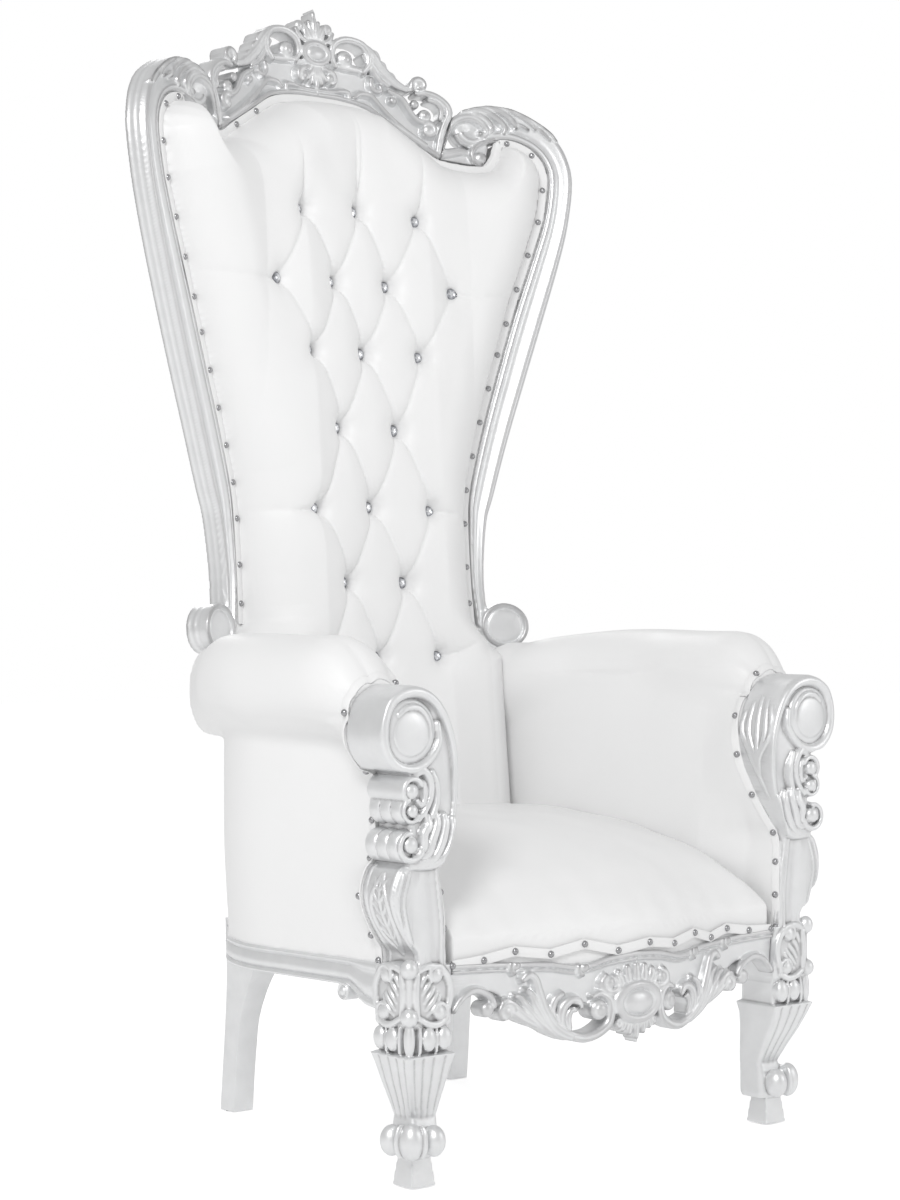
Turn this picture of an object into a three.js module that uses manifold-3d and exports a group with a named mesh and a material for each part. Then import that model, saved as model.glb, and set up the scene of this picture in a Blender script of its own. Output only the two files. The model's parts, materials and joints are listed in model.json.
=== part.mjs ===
// A high-backed carved throne: silver-painted wood frame, white padded seat, arms and tufted back.
// Millimetres, +Z up, the sitter looks along -Y, x = 0 is the plane of symmetry.
import * as THREE from 'three';
import { mergeVertices } from 'three/addons/utils/BufferGeometryUtils.js';
import Module from 'manifold-3d';

const wasm = await Module();
wasm.setup();

// Driving dimensions. Lengths along y are measured from a line 360 behind the front feet.

const CREST_TOP = 1800;
const GAP = 0.4;
const GLIDE_HEIGHT = 5;
const GLIDE_RADIUS = 12;

// The face of the back frame bows across the width and leans back.
const BACK_Y = 283;
const BACK_Z = 977;
const BACK_RAKE = 0.085;
const BACK_BOW = 0.00075;
const FRAME_DEPTH = 34;
const CUSHION_BULGE = 84;
const CUSHION_RIM = 21;
const CUSHION_EDGE = 70;

// Front posts: the block over the knee and the leg share one centre line.
const POST_X = 360;
const POST_Y = -365;
const POST_FACE = -405;
const POST_DEPTH = 72;
const VOLUTE_X = 397;
const VOLUTE_Z = 625;
const VOLUTE_RADIUS = 53;

// Seat frame.
const RAIL_BOTTOM = 250;
const RAIL_TOP = 312;
const RAIL_FACE = -400;
const RAIL_BOW = 33;
const RAIL_BOW_HALF = 250;
const RAIL_END_X = 317;
const REAR_LEG_X = 240;
const REAR_LEG_Y = 250;
const REAR_LEG_HALF = 23;

// Seat and arms.
const SEAT_CORNER_Y = 176;
const SEAT_REAR_Y = 138;
const SEAT_CROWN = 484;
const ROLL_Z = 697;
const ROLL_RADIUS = 68;

// Crystal buttons: rows from the top, each with its height and the x of its buttons.
const BUTTON_RADIUS = 8;
const BUTTON_ROWS = [
  [1449, [-122, 0, 122]],
  [1330, [-181, -57, 57, 181]],
  [1217, [-114, 0, 114]],
  [1093, [-60, 60]],
  [963, [-119, 0, 119]],
  [842, [-61, 61]],
  [722, [-118, 0, 118]],
];

// Colours and finishes.
const silverPaint = new THREE.MeshStandardMaterial({ color: 0xc9cacb, roughness: 0.38, metalness: 0.75 });
const whiteVinyl = new THREE.MeshStandardMaterial({ color: 0xf4f4f3, roughness: 0.45, metalness: 0 });
const whiteBand = new THREE.MeshStandardMaterial({ color: 0xf1f1f0, roughness: 0.5, metalness: 0 });
const crystal = new THREE.MeshStandardMaterial({ color: 0xdfe3e8, roughness: 0.08, metalness: 0.3 });
const nylon = new THREE.MeshStandardMaterial({ color: 0x2a2a2b, roughness: 0.6, metalness: 0 });

// Small tools.

const point = (x, y, z) => new THREE.Vector3(x, y, z);
const clamp = THREE.MathUtils.clamp;
const lerp = THREE.MathUtils.lerp;

// Straight-line graph through [position, value] pairs.
function graph(pairs) {
  return (at) => {
    const last = pairs.length - 1;
    if (at <= pairs[0][0]) return pairs[0][1];
    if (at >= pairs[last][0]) return pairs[last][1];
    const i = pairs.findIndex((pair) => pair[0] > at);
    const [a, low] = pairs[i - 1];
    const [b, high] = pairs[i];
    return lerp(low, high, (at - a) / (b - a));
  };
}

function signedVolume(geometry) {
  const p = geometry.attributes.position;
  const index = geometry.index.array;
  const [a, b, c] = [new THREE.Vector3(), new THREE.Vector3(), new THREE.Vector3()];
  let volume = 0;
  for (let i = 0; i < index.length; i += 3) {
    a.fromBufferAttribute(p, index[i]);
    b.fromBufferAttribute(p, index[i + 1]);
    c.fromBufferAttribute(p, index[i + 2]);
    volume += a.dot(b.cross(c)) / 6;
  }
  return volume;
}

// A closed geometry becomes a solid that can be joined and cut.
function solid(geometry) {
  const bare = geometry.clone();
  for (const name of Object.keys(bare.attributes)) {
    if (name !== 'position') bare.deleteAttribute(name);
  }
  const merged = mergeVertices(bare, 1e-3);
  const old = merged.index.array;
  const kept = [];
  for (let i = 0; i < old.length; i += 3) {
    const [a, b, c] = [old[i], old[i + 1], old[i + 2]];
    if (a !== b && b !== c && c !== a) kept.push(a, b, c);
  }
  merged.setIndex(kept);
  if (signedVolume(merged) < 0) kept.reverse();
  return solidOf(merged.attributes.position.array, kept);
}

function solidOf(positions, triangles) {
  return new wasm.Manifold(new wasm.Mesh({
    numProp: 3,
    vertProperties: new Float32Array(positions),
    triVerts: new Uint32Array(triangles),
  }));
}

function join(solids) {
  return solids.reduce((whole, next) => whole.add(next));
}

function geometryOf(body) {
  const mesh = body.getMesh();
  const geometry = new THREE.BufferGeometry();
  geometry.setAttribute('position', new THREE.BufferAttribute(new Float32Array(mesh.vertProperties), 3));
  geometry.setIndex(Array.from(mesh.triVerts));
  geometry.computeVertexNormals();
  return geometry;
}

function mirrored(body) {
  const mesh = body.getMesh();
  const turnedOver = mesh.vertProperties.map((value, i) => (i % 3 === 0 ? -value : value));
  return solidOf(turnedOver, Array.from(mesh.triVerts).reverse());
}

function both(body) {
  return body.add(mirrored(body));
}

// A skin over rings of equal length; the first and last ring are closed by a fan.
function skin(rings) {
  const n = rings[0].length;
  const points = rings.flat();
  const index = [];
  for (let i = 0; i + 1 < rings.length; i += 1) {
    for (let j = 0; j < n; j += 1) {
      const a = i * n + j;
      const b = i * n + ((j + 1) % n);
      index.push(a, b, b + n, a, b + n, a + n);
    }
  }
  for (const [ring, start, flip] of [[rings[0], 0, true], [rings.at(-1), (rings.length - 1) * n, false]]) {
    const centre = ring.reduce((sum, p) => sum.add(p), point(0, 0, 0)).divideScalar(n);
    points.push(centre);
    const hub = points.length - 1;
    for (let j = 0; j < n; j += 1) {
      const a = start + j;
      const b = start + ((j + 1) % n);
      if (flip) index.push(hub, b, a);
      else index.push(hub, a, b);
    }
  }
  const geometry = new THREE.BufferGeometry();
  geometry.setAttribute('position', new THREE.Float32BufferAttribute(points.flatMap((p) => [p.x, p.y, p.z]), 3));
  geometry.setIndex(index);
  return geometry;
}

// Places: each turns a point of a face, and a distance out of it, into a point in space.

function onBack(x, z, out) {
  const y = BACK_Y + BACK_RAKE * (z - BACK_Z) - BACK_BOW * x * x;
  const normal = point(2 * BACK_BOW * x, 1, -BACK_RAKE).normalize();
  return point(x, y, z).addScaledVector(normal, -out);
}

function railFace(x) {
  const bowed = Math.abs(x) < RAIL_BOW_HALF;
  return RAIL_FACE - (bowed ? RAIL_BOW / 2 * (1 + Math.cos(Math.PI * x / RAIL_BOW_HALF)) : 0);
}

function onRail(x, z, out) {
  return point(x, railFace(x) - out, z);
}

function onPostFront(x, z, out) {
  return point(x, POST_FACE - out, z);
}

// The outer side of a post is its front, turned over the diagonal of the block.
function onPostSide(x, z, out) {
  return point(POST_X + (POST_Y - POST_FACE) + out, POST_Y - (x - POST_X), z);
}

// Section profiles: [share of the width, distance out of the face].
const strapProfile = (rise, depth) => [[0, -depth], [0.15, rise], [0.85, rise], [1, -depth]];

// A band between two edge lines, each a list of [x, z], with a profile across it.
function band(inner, outer, profile, place) {
  const rings = inner.map((from, i) => {
    const to = outer[i];
    return profile.map(([share, out]) => place(lerp(from[0], to[0], share), lerp(from[1], to[1], share), out));
  });
  return solid(skin(rings));
}

// A band of changing width along a smooth path of [x, z, width].
function strap(path, steps, profile, place) {
  const line = new THREE.CatmullRomCurve3(path.map(([x, z, width]) => point(x, z, width)));
  const inner = [];
  const outer = [];
  for (let i = 0; i <= steps; i += 1) {
    const at = line.getPoint(i / steps);
    const way = line.getTangent(i / steps);
    const length = Math.hypot(way.x, way.y);
    const side = [-way.y / length * at.z / 2, way.x / length * at.z / 2];
    inner.push([at.x + side[0], at.y + side[1]]);
    outer.push([at.x - side[0], at.y - side[1]]);
  }
  return band(inner, outer, profile, place);
}

// A round boss on a face; deep stretches it through the face.
function ball(x, z, radius, out, place, deep = 1) {
  const at = place(x, z, out);
  const away = place(x, z, out + 1).sub(at).normalize();
  const geometry = new THREE.SphereGeometry(radius, 5, 3);
  geometry.rotateX(Math.PI / 2);
  geometry.scale(1, 1, deep);
  geometry.applyQuaternion(new THREE.Quaternion().setFromUnitVectors(point(0, 0, 1), away));
  geometry.translate(at.x, at.y, at.z);
  return solid(geometry);
}

// A turned piece whose axis points out of a face. The profile is [radius, distance out].
function turned(x, z, profile, sides, place, stretch = 1) {
  const at = place(x, z, 0);
  const away = place(x, z, 1).sub(at).normalize();
  const geometry = new THREE.LatheGeometry(profile.map(([r, out]) => new THREE.Vector2(r, out)), sides);
  geometry.rotateX(Math.PI / 2);
  geometry.scale(stretch, 1, 1);
  geometry.applyQuaternion(new THREE.Quaternion().setFromUnitVectors(point(0, 0, 1), away));
  geometry.translate(at.x, at.y, at.z);
  return solid(geometry);
}

// A flat outline of [x, z] points pushed through a face.
function plate(outline, from, to, place) {
  return solid(skin([outline.map(([x, z]) => place(x, z, from)), outline.map(([x, z]) => place(x, z, to))]));
}

function sameBothSides(half) {
  return [...half.slice(1).reverse().map(([x, z]) => [-x, z]), ...half];
}

const throne = new THREE.Group();

function add(name, body, material) {
  const mesh = new THREE.Mesh(geometryOf(body), material);
  mesh.name = name;
  throne.add(mesh);
}

function addPair(name, body, material) {
  add(`${name}_right`, body, material);
  add(`${name}_left`, mirrored(body), material);
}

// Back stile: one moulded member from the scroll over the arm, up and round the shoulder.

const STILE_INNER = [
  [250, 770], [243, 850], [245, 950], [251, 1005], [275, 1100], [336, 1300], [370, 1400], [393, 1473],
  [403, 1540], [397, 1572], [380, 1595], [355, 1609], [328, 1613], [304, 1606], [287, 1593],
];
const STILE_OUTER = [
  [270, 775], [267, 855], [277, 945], [291, 992], [319, 1088], [381, 1287], [411, 1388], [430, 1465],
  [440, 1542], [432, 1590], [414, 1623], [388, 1645], [358, 1661], [322, 1667], [288, 1662],
];
const STILE_PROFILE = [
  [0, -FRAME_DEPTH], [0, 1], [0.13, 5], [0.27, -1], [0.5, -5], [0.8, 3], [1, -7], [0.97, -FRAME_DEPTH],
];

function backStile() {
  const through = strapProfile(5, FRAME_DEPTH - 6);
  const moulding = band(STILE_INNER, STILE_OUTER, STILE_PROFILE, onBack);
  const drum = turned(295, 770, [[0, -38], [36, -38], [38.6, 0], [33, 3], [27, 1], [0, 7]], 11, onBack);
  const hook = strap([
    [234, 1592, 12], [241, 1618, 15], [258, 1639, 17], [284, 1645, 16], [304, 1634, 14], [309, 1620, 9],
  ], 6, through, onBack);
  const shoulderLeaf = strap([[276, 1653, 12], [314, 1656, 22], [348, 1640, 12]], 3, strapProfile(9, 8), onBack);
  const longLeaf = strap([[330, 1660, 10], [372, 1640, 14], [408, 1622, 5]], 3, strapProfile(7, 8), onBack);
  const ground = plate([
    [232, 1572], [278, 1565], [299, 1566], [309, 1580], [313, 1598], [300, 1606], [286, 1592], [240, 1592],
  ], -FRAME_DEPTH + 2, -4, onBack);
  const eye = ball(298, 1577, 11, -3, onBack);
  const post = band(
    [[246, 330], [248, 775]],
    [[267, 330], [268, 775]],
    [[0, -FRAME_DEPTH - 4], [0, -12], [1, -12], [1, -FRAME_DEPTH - 4]],
    onBack,
  );
  return join([moulding, drum, hook, shoulderLeaf, longLeaf, ground, eye, post]);
}

// Crest rail: a bowed board with a cabochon, palmettes and pierced scrolls.

const CREST_LOWER = [
  [0, 1657], [35, 1656], [70, 1652], [100, 1645], [130, 1628], [160, 1610], [190, 1592], [222, 1573],
];
const CREST_UPPER = [
  [0, 1714], [38, 1717], [80, 1715], [112, 1708], [140, 1690], [160, 1674], [184, 1644], [230, 1610],
];

function crestRail() {
  const through = strapProfile(5, FRAME_DEPTH - 6);
  const raised = strapProfile(5, 7);
  const board = band(
    sameBothSides(CREST_LOWER),
    sameBothSides(CREST_UPPER),
    [[0, -FRAME_DEPTH], [0, 2], [0.5, -6], [1, 1], [1, -FRAME_DEPTH]],
    onBack,
  );
  const cabochon = turned(0, 1730, [[0, -28], [21, -28], [21, 4], [15, 4], [10, 10], [0, 12]], 10, onBack, 30 / 21);
  const tip = plate([[-24, 1740], [24, 1740], [27, 1771], [13, 1786], [0, CREST_TOP - 1], [-13, 1786], [-27, 1771]],
    -26, 3, onBack);
  const tipVein = strap([[0, 1745, 16], [0, 1794, 4]], 1, raised, onBack);
  const drop = plate([[-22, 1712], [-15, 1682], [0, 1671], [15, 1682], [22, 1712]], -9, 6, onBack);
  const right = [
    strap([
      [40, 1716, 9], [35, 1736, 12], [46, 1755, 14], [72, 1760, 12], [97, 1754, 15], [109, 1738, 16],
      [106, 1720, 14], [93, 1709, 9],
    ], 7, through, onBack),
    strap([[98, 1756, 14], [124, 1722, 24], [152, 1696, 18], [176, 1687, 11], [198, 1690, 11]], 4, through, onBack),
    turned(61, 1728, [[0, -26], [15, -26], [15.5, 3], [0, 9]], 8, onBack),
    ball(28, 1773, 10, -6, onBack, 1.8),
    ball(28, 1690, 9, 1, onBack),
    ball(199, 1697, 12, -8, onBack, 1.7),
    ball(206, 1643, 12, 0, onBack),
    ball(212, 1620, 10, 1, onBack),
    strap([[146, 1679, 9], [166, 1671, 11], [182, 1646, 11], [208, 1632, 10]], 3, raised, onBack),
    strap([[196, 1680, 10], [226, 1677, 14], [246, 1656, 15], [238, 1626, 14], [229, 1600, 14]], 5, through, onBack),
  ];
  return join([board, cabochon, tip, tipVein, drop, both(join(right))]);
}

// The crest meets the shoulders on a slanting joint.
const JOINT_FOOT = [228, 1568];
const JOINT_HEAD = [258, 1660];

function jointHalf(body, side) {
  const along = [JOINT_HEAD[0] - JOINT_FOOT[0], JOINT_HEAD[1] - JOINT_FOOT[1]];
  const length = Math.hypot(...along);
  const normal = [along[1] / length, -along[0] / length];
  const reach = normal[0] * JOINT_FOOT[0] + normal[1] * JOINT_FOOT[1];
  return body.trimByPlane([side * normal[0], 0, side * normal[1]], side * reach + GAP / 2);
}

// Back upholstery.

const CUSHION_FOOT = 440;
const CUSHION_SIDE = 241;
const CORNER_X = 242.2;
const NARROW_TOP = [952, 1022];
const TOP_EDGE = [
  [0, 1655], [50, 1653], [100, 1643], [150, 1614], [200, 1584], [225, 1568], [252, 1563], [284, 1560], [301, 1562],
  [313, 1578], [318, 1601], [330, 1609], [355, 1606], [379, 1592], [395, 1571], [400, 1545],
];
const SIDE_EDGE = [
  [241, 300], [241, 850], [242, 950], [249, 1009], [273, 1104], [303, 1204], [334, 1304], [368, 1404], [390, 1474],
  [398, 1526], [400, 1545],
];
const cushionTop = graph(TOP_EDGE);
const sideLow = graph(SIDE_EDGE);

function edgeDistance(x, z) {
  const at = point(Math.abs(x), z, 0);
  const nearest = new THREE.Vector3();
  let best = Infinity;
  for (const edge of [TOP_EDGE, SIDE_EDGE]) {
    for (let i = 0; i + 1 < edge.length; i += 1) {
      new THREE.Line3(point(...edge[i], 0), point(...edge[i + 1], 0)).closestPointToPoint(at, true, nearest);
      best = Math.min(best, nearest.distanceTo(at));
    }
  }
  return best;
}

// How far the padding stands out of the face of the frame.
function cushionRise(x, z) {
  const share = clamp((edgeDistance(x, z) - CUSHION_RIM - 1) / CUSHION_EDGE, 0, 1);
  return CUSHION_BULGE * Math.sin(share * Math.PI / 2);
}

const COLUMNS = [0, 60, 120, 155, 190, 219, 228, 240.5, CORNER_X, 252, 284, 301, 313, 318, 330, 355, 379, 388, 396];

function bothColumns(column) {
  return [...COLUMNS.slice(1).reverse().map((x) => column(-x)), ...COLUMNS.map(column)];
}

const cushionLow = (x) => (Math.abs(x) <= CUSHION_SIDE ? CUSHION_FOOT : sideLow(Math.abs(x)));

// The height, going from one end towards another, where the edge is a given distance away.
function heightAt(x, from, to, distance) {
  for (let i = 0; i <= 400; i += 1) {
    const z = lerp(from, to, i / 400);
    if (edgeDistance(x, z) >= distance) return z;
  }
  return to;
}

function backCushion() {
  const depths = [CUSHION_RIM, CUSHION_RIM + CUSHION_EDGE * 0.2, CUSHION_RIM + CUSHION_EDGE];
  const column = (x) => {
    const across = Math.max(Math.abs(x), CORNER_X);
    const [low, high] = [cushionLow(x), cushionTop(Math.abs(x))];
    const middle = lerp(sideLow(across), cushionTop(across), 0.62);
    const lower = [...depths.map((depth) => heightAt(across, sideLow(across), middle, depth)), middle];
    const bend = Math.abs(x) <= CUSHION_SIDE ? NARROW_TOP : [0.33, 0.67].map((share) => lerp(low, lower[0], share));
    lower.unshift(...bend);
    const upper = depths.map((depth) => heightAt(x, high, middle, depth)).reverse();
    const heights = [low, ...lower, ...upper, high];
    const front = heights.map((z) => onBack(x, z, cushionRise(x, z)));
    return [...front, onBack(x, high, -FRAME_DEPTH + 6), onBack(x, low, -FRAME_DEPTH + 6)];
  };
  const flap = band(
    [[230, 442], [230, 728]],
    [[269, 442], [269, 728]],
    [[0, -11], [0, 34], [0.6, 26], [1, 14], [1, -11]],
    onBack,
  );
  return join([solid(skin(bothColumns(column))), both(flap)]);
}

// The plain panel that closes the back, between the frame members.
function outsideBack() {
  const column = (x) => {
    const across = Math.abs(x);
    const bottom = across <= CUSHION_SIDE ? 330 : cushionLow(x);
    const ends = [bottom, cushionTop(across)];
    return [
      ...ends.map((z) => onBack(x, z, -FRAME_DEPTH + 4)),
      ...ends.reverse().map((z) => onBack(x, z, -FRAME_DEPTH - 6)),
    ];
  };
  return solid(skin(bothColumns(column)));
}

// Gimp band round the edge of the back, just inside the frame.
const BAND_WIDTH = 12;
const BAND_THICK = 2;

function backBand() {
  const edge = [
    [240, 745], [240, 950], [248, 1010], [272, 1104], [333, 1304], [367, 1404], [389, 1474],
    [398, 1526], [392, 1570], [377, 1589], [354, 1603], [331, 1607], [321, 1600], [316, 1578], [303, 1559],
    [284, 1557], [252, 1560], [225, 1565], [200, 1581], [150, 1611], [100, 1640], [50, 1650], [0, 1652],
  ];
  const whole = [...edge, ...edge.slice(0, -1).reverse().map(([x, z]) => [-x, z])];
  const inside = whole.map((spot, i) => {
    const before = whole[Math.max(i - 1, 0)];
    const after = whole[Math.min(i + 1, whole.length - 1)];
    const way = [after[0] - before[0], after[1] - before[1]];
    const length = Math.hypot(...way);
    return [spot[0] - way[1] / length * BAND_WIDTH, spot[1] + way[0] / length * BAND_WIDTH];
  });
  const back = GAP * 5;
  return band(whole, inside, [[0, back], [0, back + BAND_THICK], [1, back + BAND_THICK], [1, back]], onBack);
}

function button(x, z) {
  const place = (px, pz, out) => onBack(px, pz, out + cushionRise(x, z) + GAP * 3);
  return turned(x, z, [[0, 0], [BUTTON_RADIUS, 0], [0, 5]], 8, place);
}

// Front rail.

const RAIL_UPPER = [
  [0, 306], [50, 302], [100, 293], [150, 300], [200, 303], [255, 307], [RAIL_END_X, 310],
];
const RAIL_LOWER = [
  [0, 215], [50, 220], [95, 238], [150, 234], [205, 245], [262, 268], [RAIL_END_X, 260],
];

function frontRail() {
  const through = strapProfile(6, 16);
  const raised = strapProfile(5, 6);
  const board = band(
    sameBothSides(RAIL_LOWER),
    sameBothSides(RAIL_UPPER),
    [[0, -24], [0, 0], [0.7, -4], [0.9, 4], [1, -24]],
    onRail,
  );
  const cabochon = turned(0, 232, [[0, -18], [29, -18], [30, 6], [22, 4], [14, 11], [0, 14]], 10, onRail, 44 / 30);
  const crown = plate([[-46, 258], [46, 258], [40, 278], [18, 284], [0, 288], [-18, 284], [-40, 278]], -8, 6, onRail);
  const drop = plate([[-34, 208], [-22, 190], [0, 178], [22, 190], [34, 208]], -16, 5, onRail);
  const right = [
    strap([
      [66, 250, 10], [50, 236, 12], [52, 210, 14], [74, 193, 14], [108, 190, 14], [138, 208, 24],
      [166, 242, 28], [176, 278, 11],
    ], 7, through, onRail),
    strap([[132, 206, 14], [124, 230, 16], [102, 242, 10]], 2, through, onRail),
    strap([[150, 210, 14], [190, 234, 24], [224, 248, 10]], 2, through, onRail),
    strap([[250, 250, 8], [276, 270, 9], [RAIL_END_X - 4, 250, 9]], 3, through, onRail),
    turned(70, 226, [[0, -14], [14, -14], [14, 5], [0, 10]], 8, onRail),
    ball(224, 233, 11, -3, onRail, 1.4),
    ball(254, 242, 10, -3, onRail, 1.4),
    ball(52, 264, 11, 2, onRail),
  ];
  return join([board, cabochon, crown, drop, both(join(right))]);
}

// Front post: leg, knee block, carved arm stump and volute in one.

function postRing(z, centre, half, round, flute) {
  const ring = [];
  const corner = half - round;
  const spots = [
    [-half, -half], [0, -half], [corner, -half], [half, -corner], [half, 0], [half, half], [0, half], [-half, half],
  ];
  for (const [x, y] of spots) ring.push(point(POST_X + centre + x, POST_Y - centre + y, z));
  ring[1].y += flute;
  ring[4].x -= flute;
  return ring;
}

function postLeg() {
  // z, shift of the section's centre out along the diagonal, half side, rounding, hollow of the faces
  const sections = [
    [GLIDE_HEIGHT + GAP, -8, 21, 3, 0], [42, -8, 16.5, 3, 0], [50, -11, 25, 6, 0], [80, -14, 26, 8, 1],
    [100, -16, 24, 8, 3], [150, -4, 36, 14, 6], [185, 0, 41, 14, 4], [203, 0, 40, 12, 0], [207, 0, 35, 9, 0],
    [226, 0, 35, 9, 0], [233, 0, 38, 8, 0], [RAIL_TOP - 1, 0, 37, 8, 0],
  ];
  return solid(skin(sections.map((section) => postRing(...section))));
}

// The comma-shaped outline of the arm stump, as [x, z].
const STUMP = [
  [386, 306], [381, 326], [396, 346], [416, 380], [424, 412], [414, 442], [400, 456], [397, 571], [428, 582],
  [447, 603], [452, 630], [441, 667], [420, 684], [396, 692], [358, 681], [331, 650], [316, 610], [312, 565],
  [318, 520], [332, 478], [344, 445], [338, 400], [335, 360], [335, 306],
];

function armStump() {
  const outline = new THREE.Shape(STUMP.map(([x, z]) => new THREE.Vector2(x, z)));
  const geometry = new THREE.ExtrudeGeometry(outline, { depth: POST_DEPTH, bevelEnabled: false });
  geometry.rotateX(Math.PI / 2);
  geometry.translate(0, POST_FACE + POST_DEPTH, 0);
  return solid(geometry);
}

// A roll that lies along the depth of the post, plain or with rings turned into it.
function sideRoll(x, z, radius, rings) {
  const back = -POST_DEPTH + 6;
  const profile = [[0, back]];
  for (let i = 0; i <= rings * 2; i += 1) {
    profile.push([radius - (i % 2 ? 3.5 : 0), lerp(back, -1, i / (rings * 2 || 1))]);
  }
  profile.push([radius, -1], [0, 6]);
  return turned(x, z, profile, 6, onPostFront);
}

function postKnee(place) {
  return [
    strap([[392, 302, 9], [345, 306, 10], [328, 275, 10], [342, 242, 10], [374, 240, 9]], 4,
      strapProfile(6, 6), place),
    ball(345, 217, 13, -3, place),
    ball(350, 309, 11, 0, place),
    ball(342, 62, 14, -16, place, 1.2),
  ];
}

function frontPost() {
  const volute = turned(VOLUTE_X, VOLUTE_Z, [
    [0, -12], [50, -12], [VOLUTE_RADIUS - 2, 5], [38, 0], [0, 10],
  ], 10, onPostFront);
  const rim = strap([
    [350, 455, 7], [322, 512, 9], [319, 600, 9], [345, 660, 10], [398, 684, 10],
  ], 4, strapProfile(5, 5), onPostFront);
  const curledLeaf = strap([[374, 512, 12], [361, 548, 18], [370, 582, 10]], 3, strapProfile(8, 6), onPostFront);
  const lobes = [[332, 496], [352, 505], [374, 506]].map(([x, z]) => strap(
    [[lerp(x, 398, 0.7), 462, 12], [x, z, 16]], 1, strapProfile(9, 6), onPostFront,
  ));
  const sideLeaf = strap([[364, 340, 10], [352, 385, 24], [366, 434, 10]], 2, strapProfile(9, 6), onPostSide);
  return join([
    postLeg(), armStump(), volute, rim, curledLeaf, ...lobes, sideLeaf,
    sideRoll(396, 553, 16, 0), sideRoll(398, 524, 17, 1), sideRoll(401, 480, 20, 1),
    ...postKnee(onPostFront), ...postKnee(onPostSide),
    ball(397, 309, 12, -4, onPostFront), ball(395, 240, 12, -4, onPostFront),
    ball(377, 63, 17, -16, onPostFront, 1.2),
  ]);
}

// Rear leg: square, gently curved, splayed back at the foot.
function rearLeg() {
  const sections = [[GLIDE_HEIGHT + GAP, -9, 4], [60, -4, -1], [120, 3, -8], [180, 5, -8], [250, 0, 0], [RAIL_TOP, 0, 0]];
  const rings = sections.map(([z, x, y]) => {
    const half = REAR_LEG_HALF - (z < 100 ? 3 : 0);
    return [[-1, -1], [1, -1], [1, 1], [-1, 1]].map(([a, b]) => (
      point(REAR_LEG_X + x + a * half, REAR_LEG_Y + y + b * half, z)));
  });
  return solid(skin(rings));
}

// Plan of the side: x of the rail's outer face against y.
const SIDE_PLAN = new THREE.CatmullRomCurve3([
  point(386, -330, 0), point(394, -240, 0), point(404, -130, 0), point(408, -40, 0), point(384, 40, 0),
  point(338, 110, 0), point(292, 172, 0), point(262, 222, 0),
]);

function sideX(y) {
  let [low, high] = [0, 1];
  for (let i = 0; i < 24; i += 1) {
    const middle = (low + high) / 2;
    if (SIDE_PLAN.getPoint(middle).y < y) low = middle;
    else high = middle;
  }
  return SIDE_PLAN.getPoint(low).x;
}

function sideRail() {
  const steps = 8;
  const rings = [];
  const section = [
    [0, 262], [4, 258], [0, RAIL_BOTTOM], [-26, RAIL_BOTTOM], [-26, RAIL_TOP], [2, RAIL_TOP], [5, 305], [0, 300],
  ];
  for (let i = 0; i <= steps; i += 1) {
    const y = lerp(-322, REAR_LEG_Y - REAR_LEG_HALF - GAP, i / steps);
    rings.push(section.map(([x, z]) => point(sideX(y) + x, y, z)));
  }
  return solid(skin(rings));
}

function rearRail() {
  const half = REAR_LEG_X - REAR_LEG_HALF - GAP;
  const geometry = new THREE.BoxGeometry(half * 2, 40, RAIL_TOP - RAIL_BOTTOM);
  geometry.translate(0, REAR_LEG_Y, (RAIL_TOP + RAIL_BOTTOM) / 2);
  return solid(geometry);
}

// Upholstered seat.

const armInnerX = graph([[-400, 316], [-330, 312], [-200, 306], [-50, 294], [SEAT_CORNER_Y, 274], [240, 270]]);
const seatSideZ = graph([[-405, 322], [-395, 345], [-342, 379], [-260, 412], [-130, 443], [0, 460], [180, 466]]);

function seatHeight(x, y) {
  const side = armInnerX(y);
  const middle = graph([[-430, 322], [-418, 356], [-390, 398], [-330, 436], [-200, 470], [-50, SEAT_CROWN], [180, 478]]);
  const share = Math.sqrt(clamp(1 - (x / side) ** 2, 0, 1));
  return lerp(seatSideZ(y), middle(y), share);
}

function seatCushion() {
  const across = [-1, -0.94, -0.8, -0.7, -0.58, -0.3, 0, 0.3, 0.58, 0.7, 0.8, 0.94, 1];
  const deep = [0, 0.03, 0.1, 0.22, 0.45, 0.72, 1];
  const rings = deep.map((share) => {
    const row = across.map((u) => {
      const x = u * (armInnerX(lerp(-398, SEAT_CORNER_Y, share)) - 1.5);
      const y = lerp(railFace(x) + 4, SEAT_REAR_Y, share);
      return point(x, y, Math.max(seatHeight(x, y), RAIL_TOP + 4));
    });
    const [first, last] = [row[0], row.at(-1)];
    const lower = (p, z) => point(p.x * 0.985, p.y, z);
    return [...row, lower(last, RAIL_TOP + 1), lower(first, RAIL_TOP + 1)];
  });
  return solid(skin(rings));
}

function seatBand() {
  const steps = 12;
  const [lower, upper] = [[], []];
  for (let i = 0; i <= steps; i += 1) {
    const x = lerp(-314, 314, i / steps);
    const z = 319 + (i % 2 ? 2 : -2);
    lower.push([x, z - 6]);
    upper.push([x, z + 6]);
  }
  return band(lower, upper, [[0, -1], [0, 1], [1, 1], [1, -1]], onRail);
}

// Upholstered arm: outer panel, fat roll and inner panel round one frame.
const ARM_REAR_Y = 183;

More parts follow.
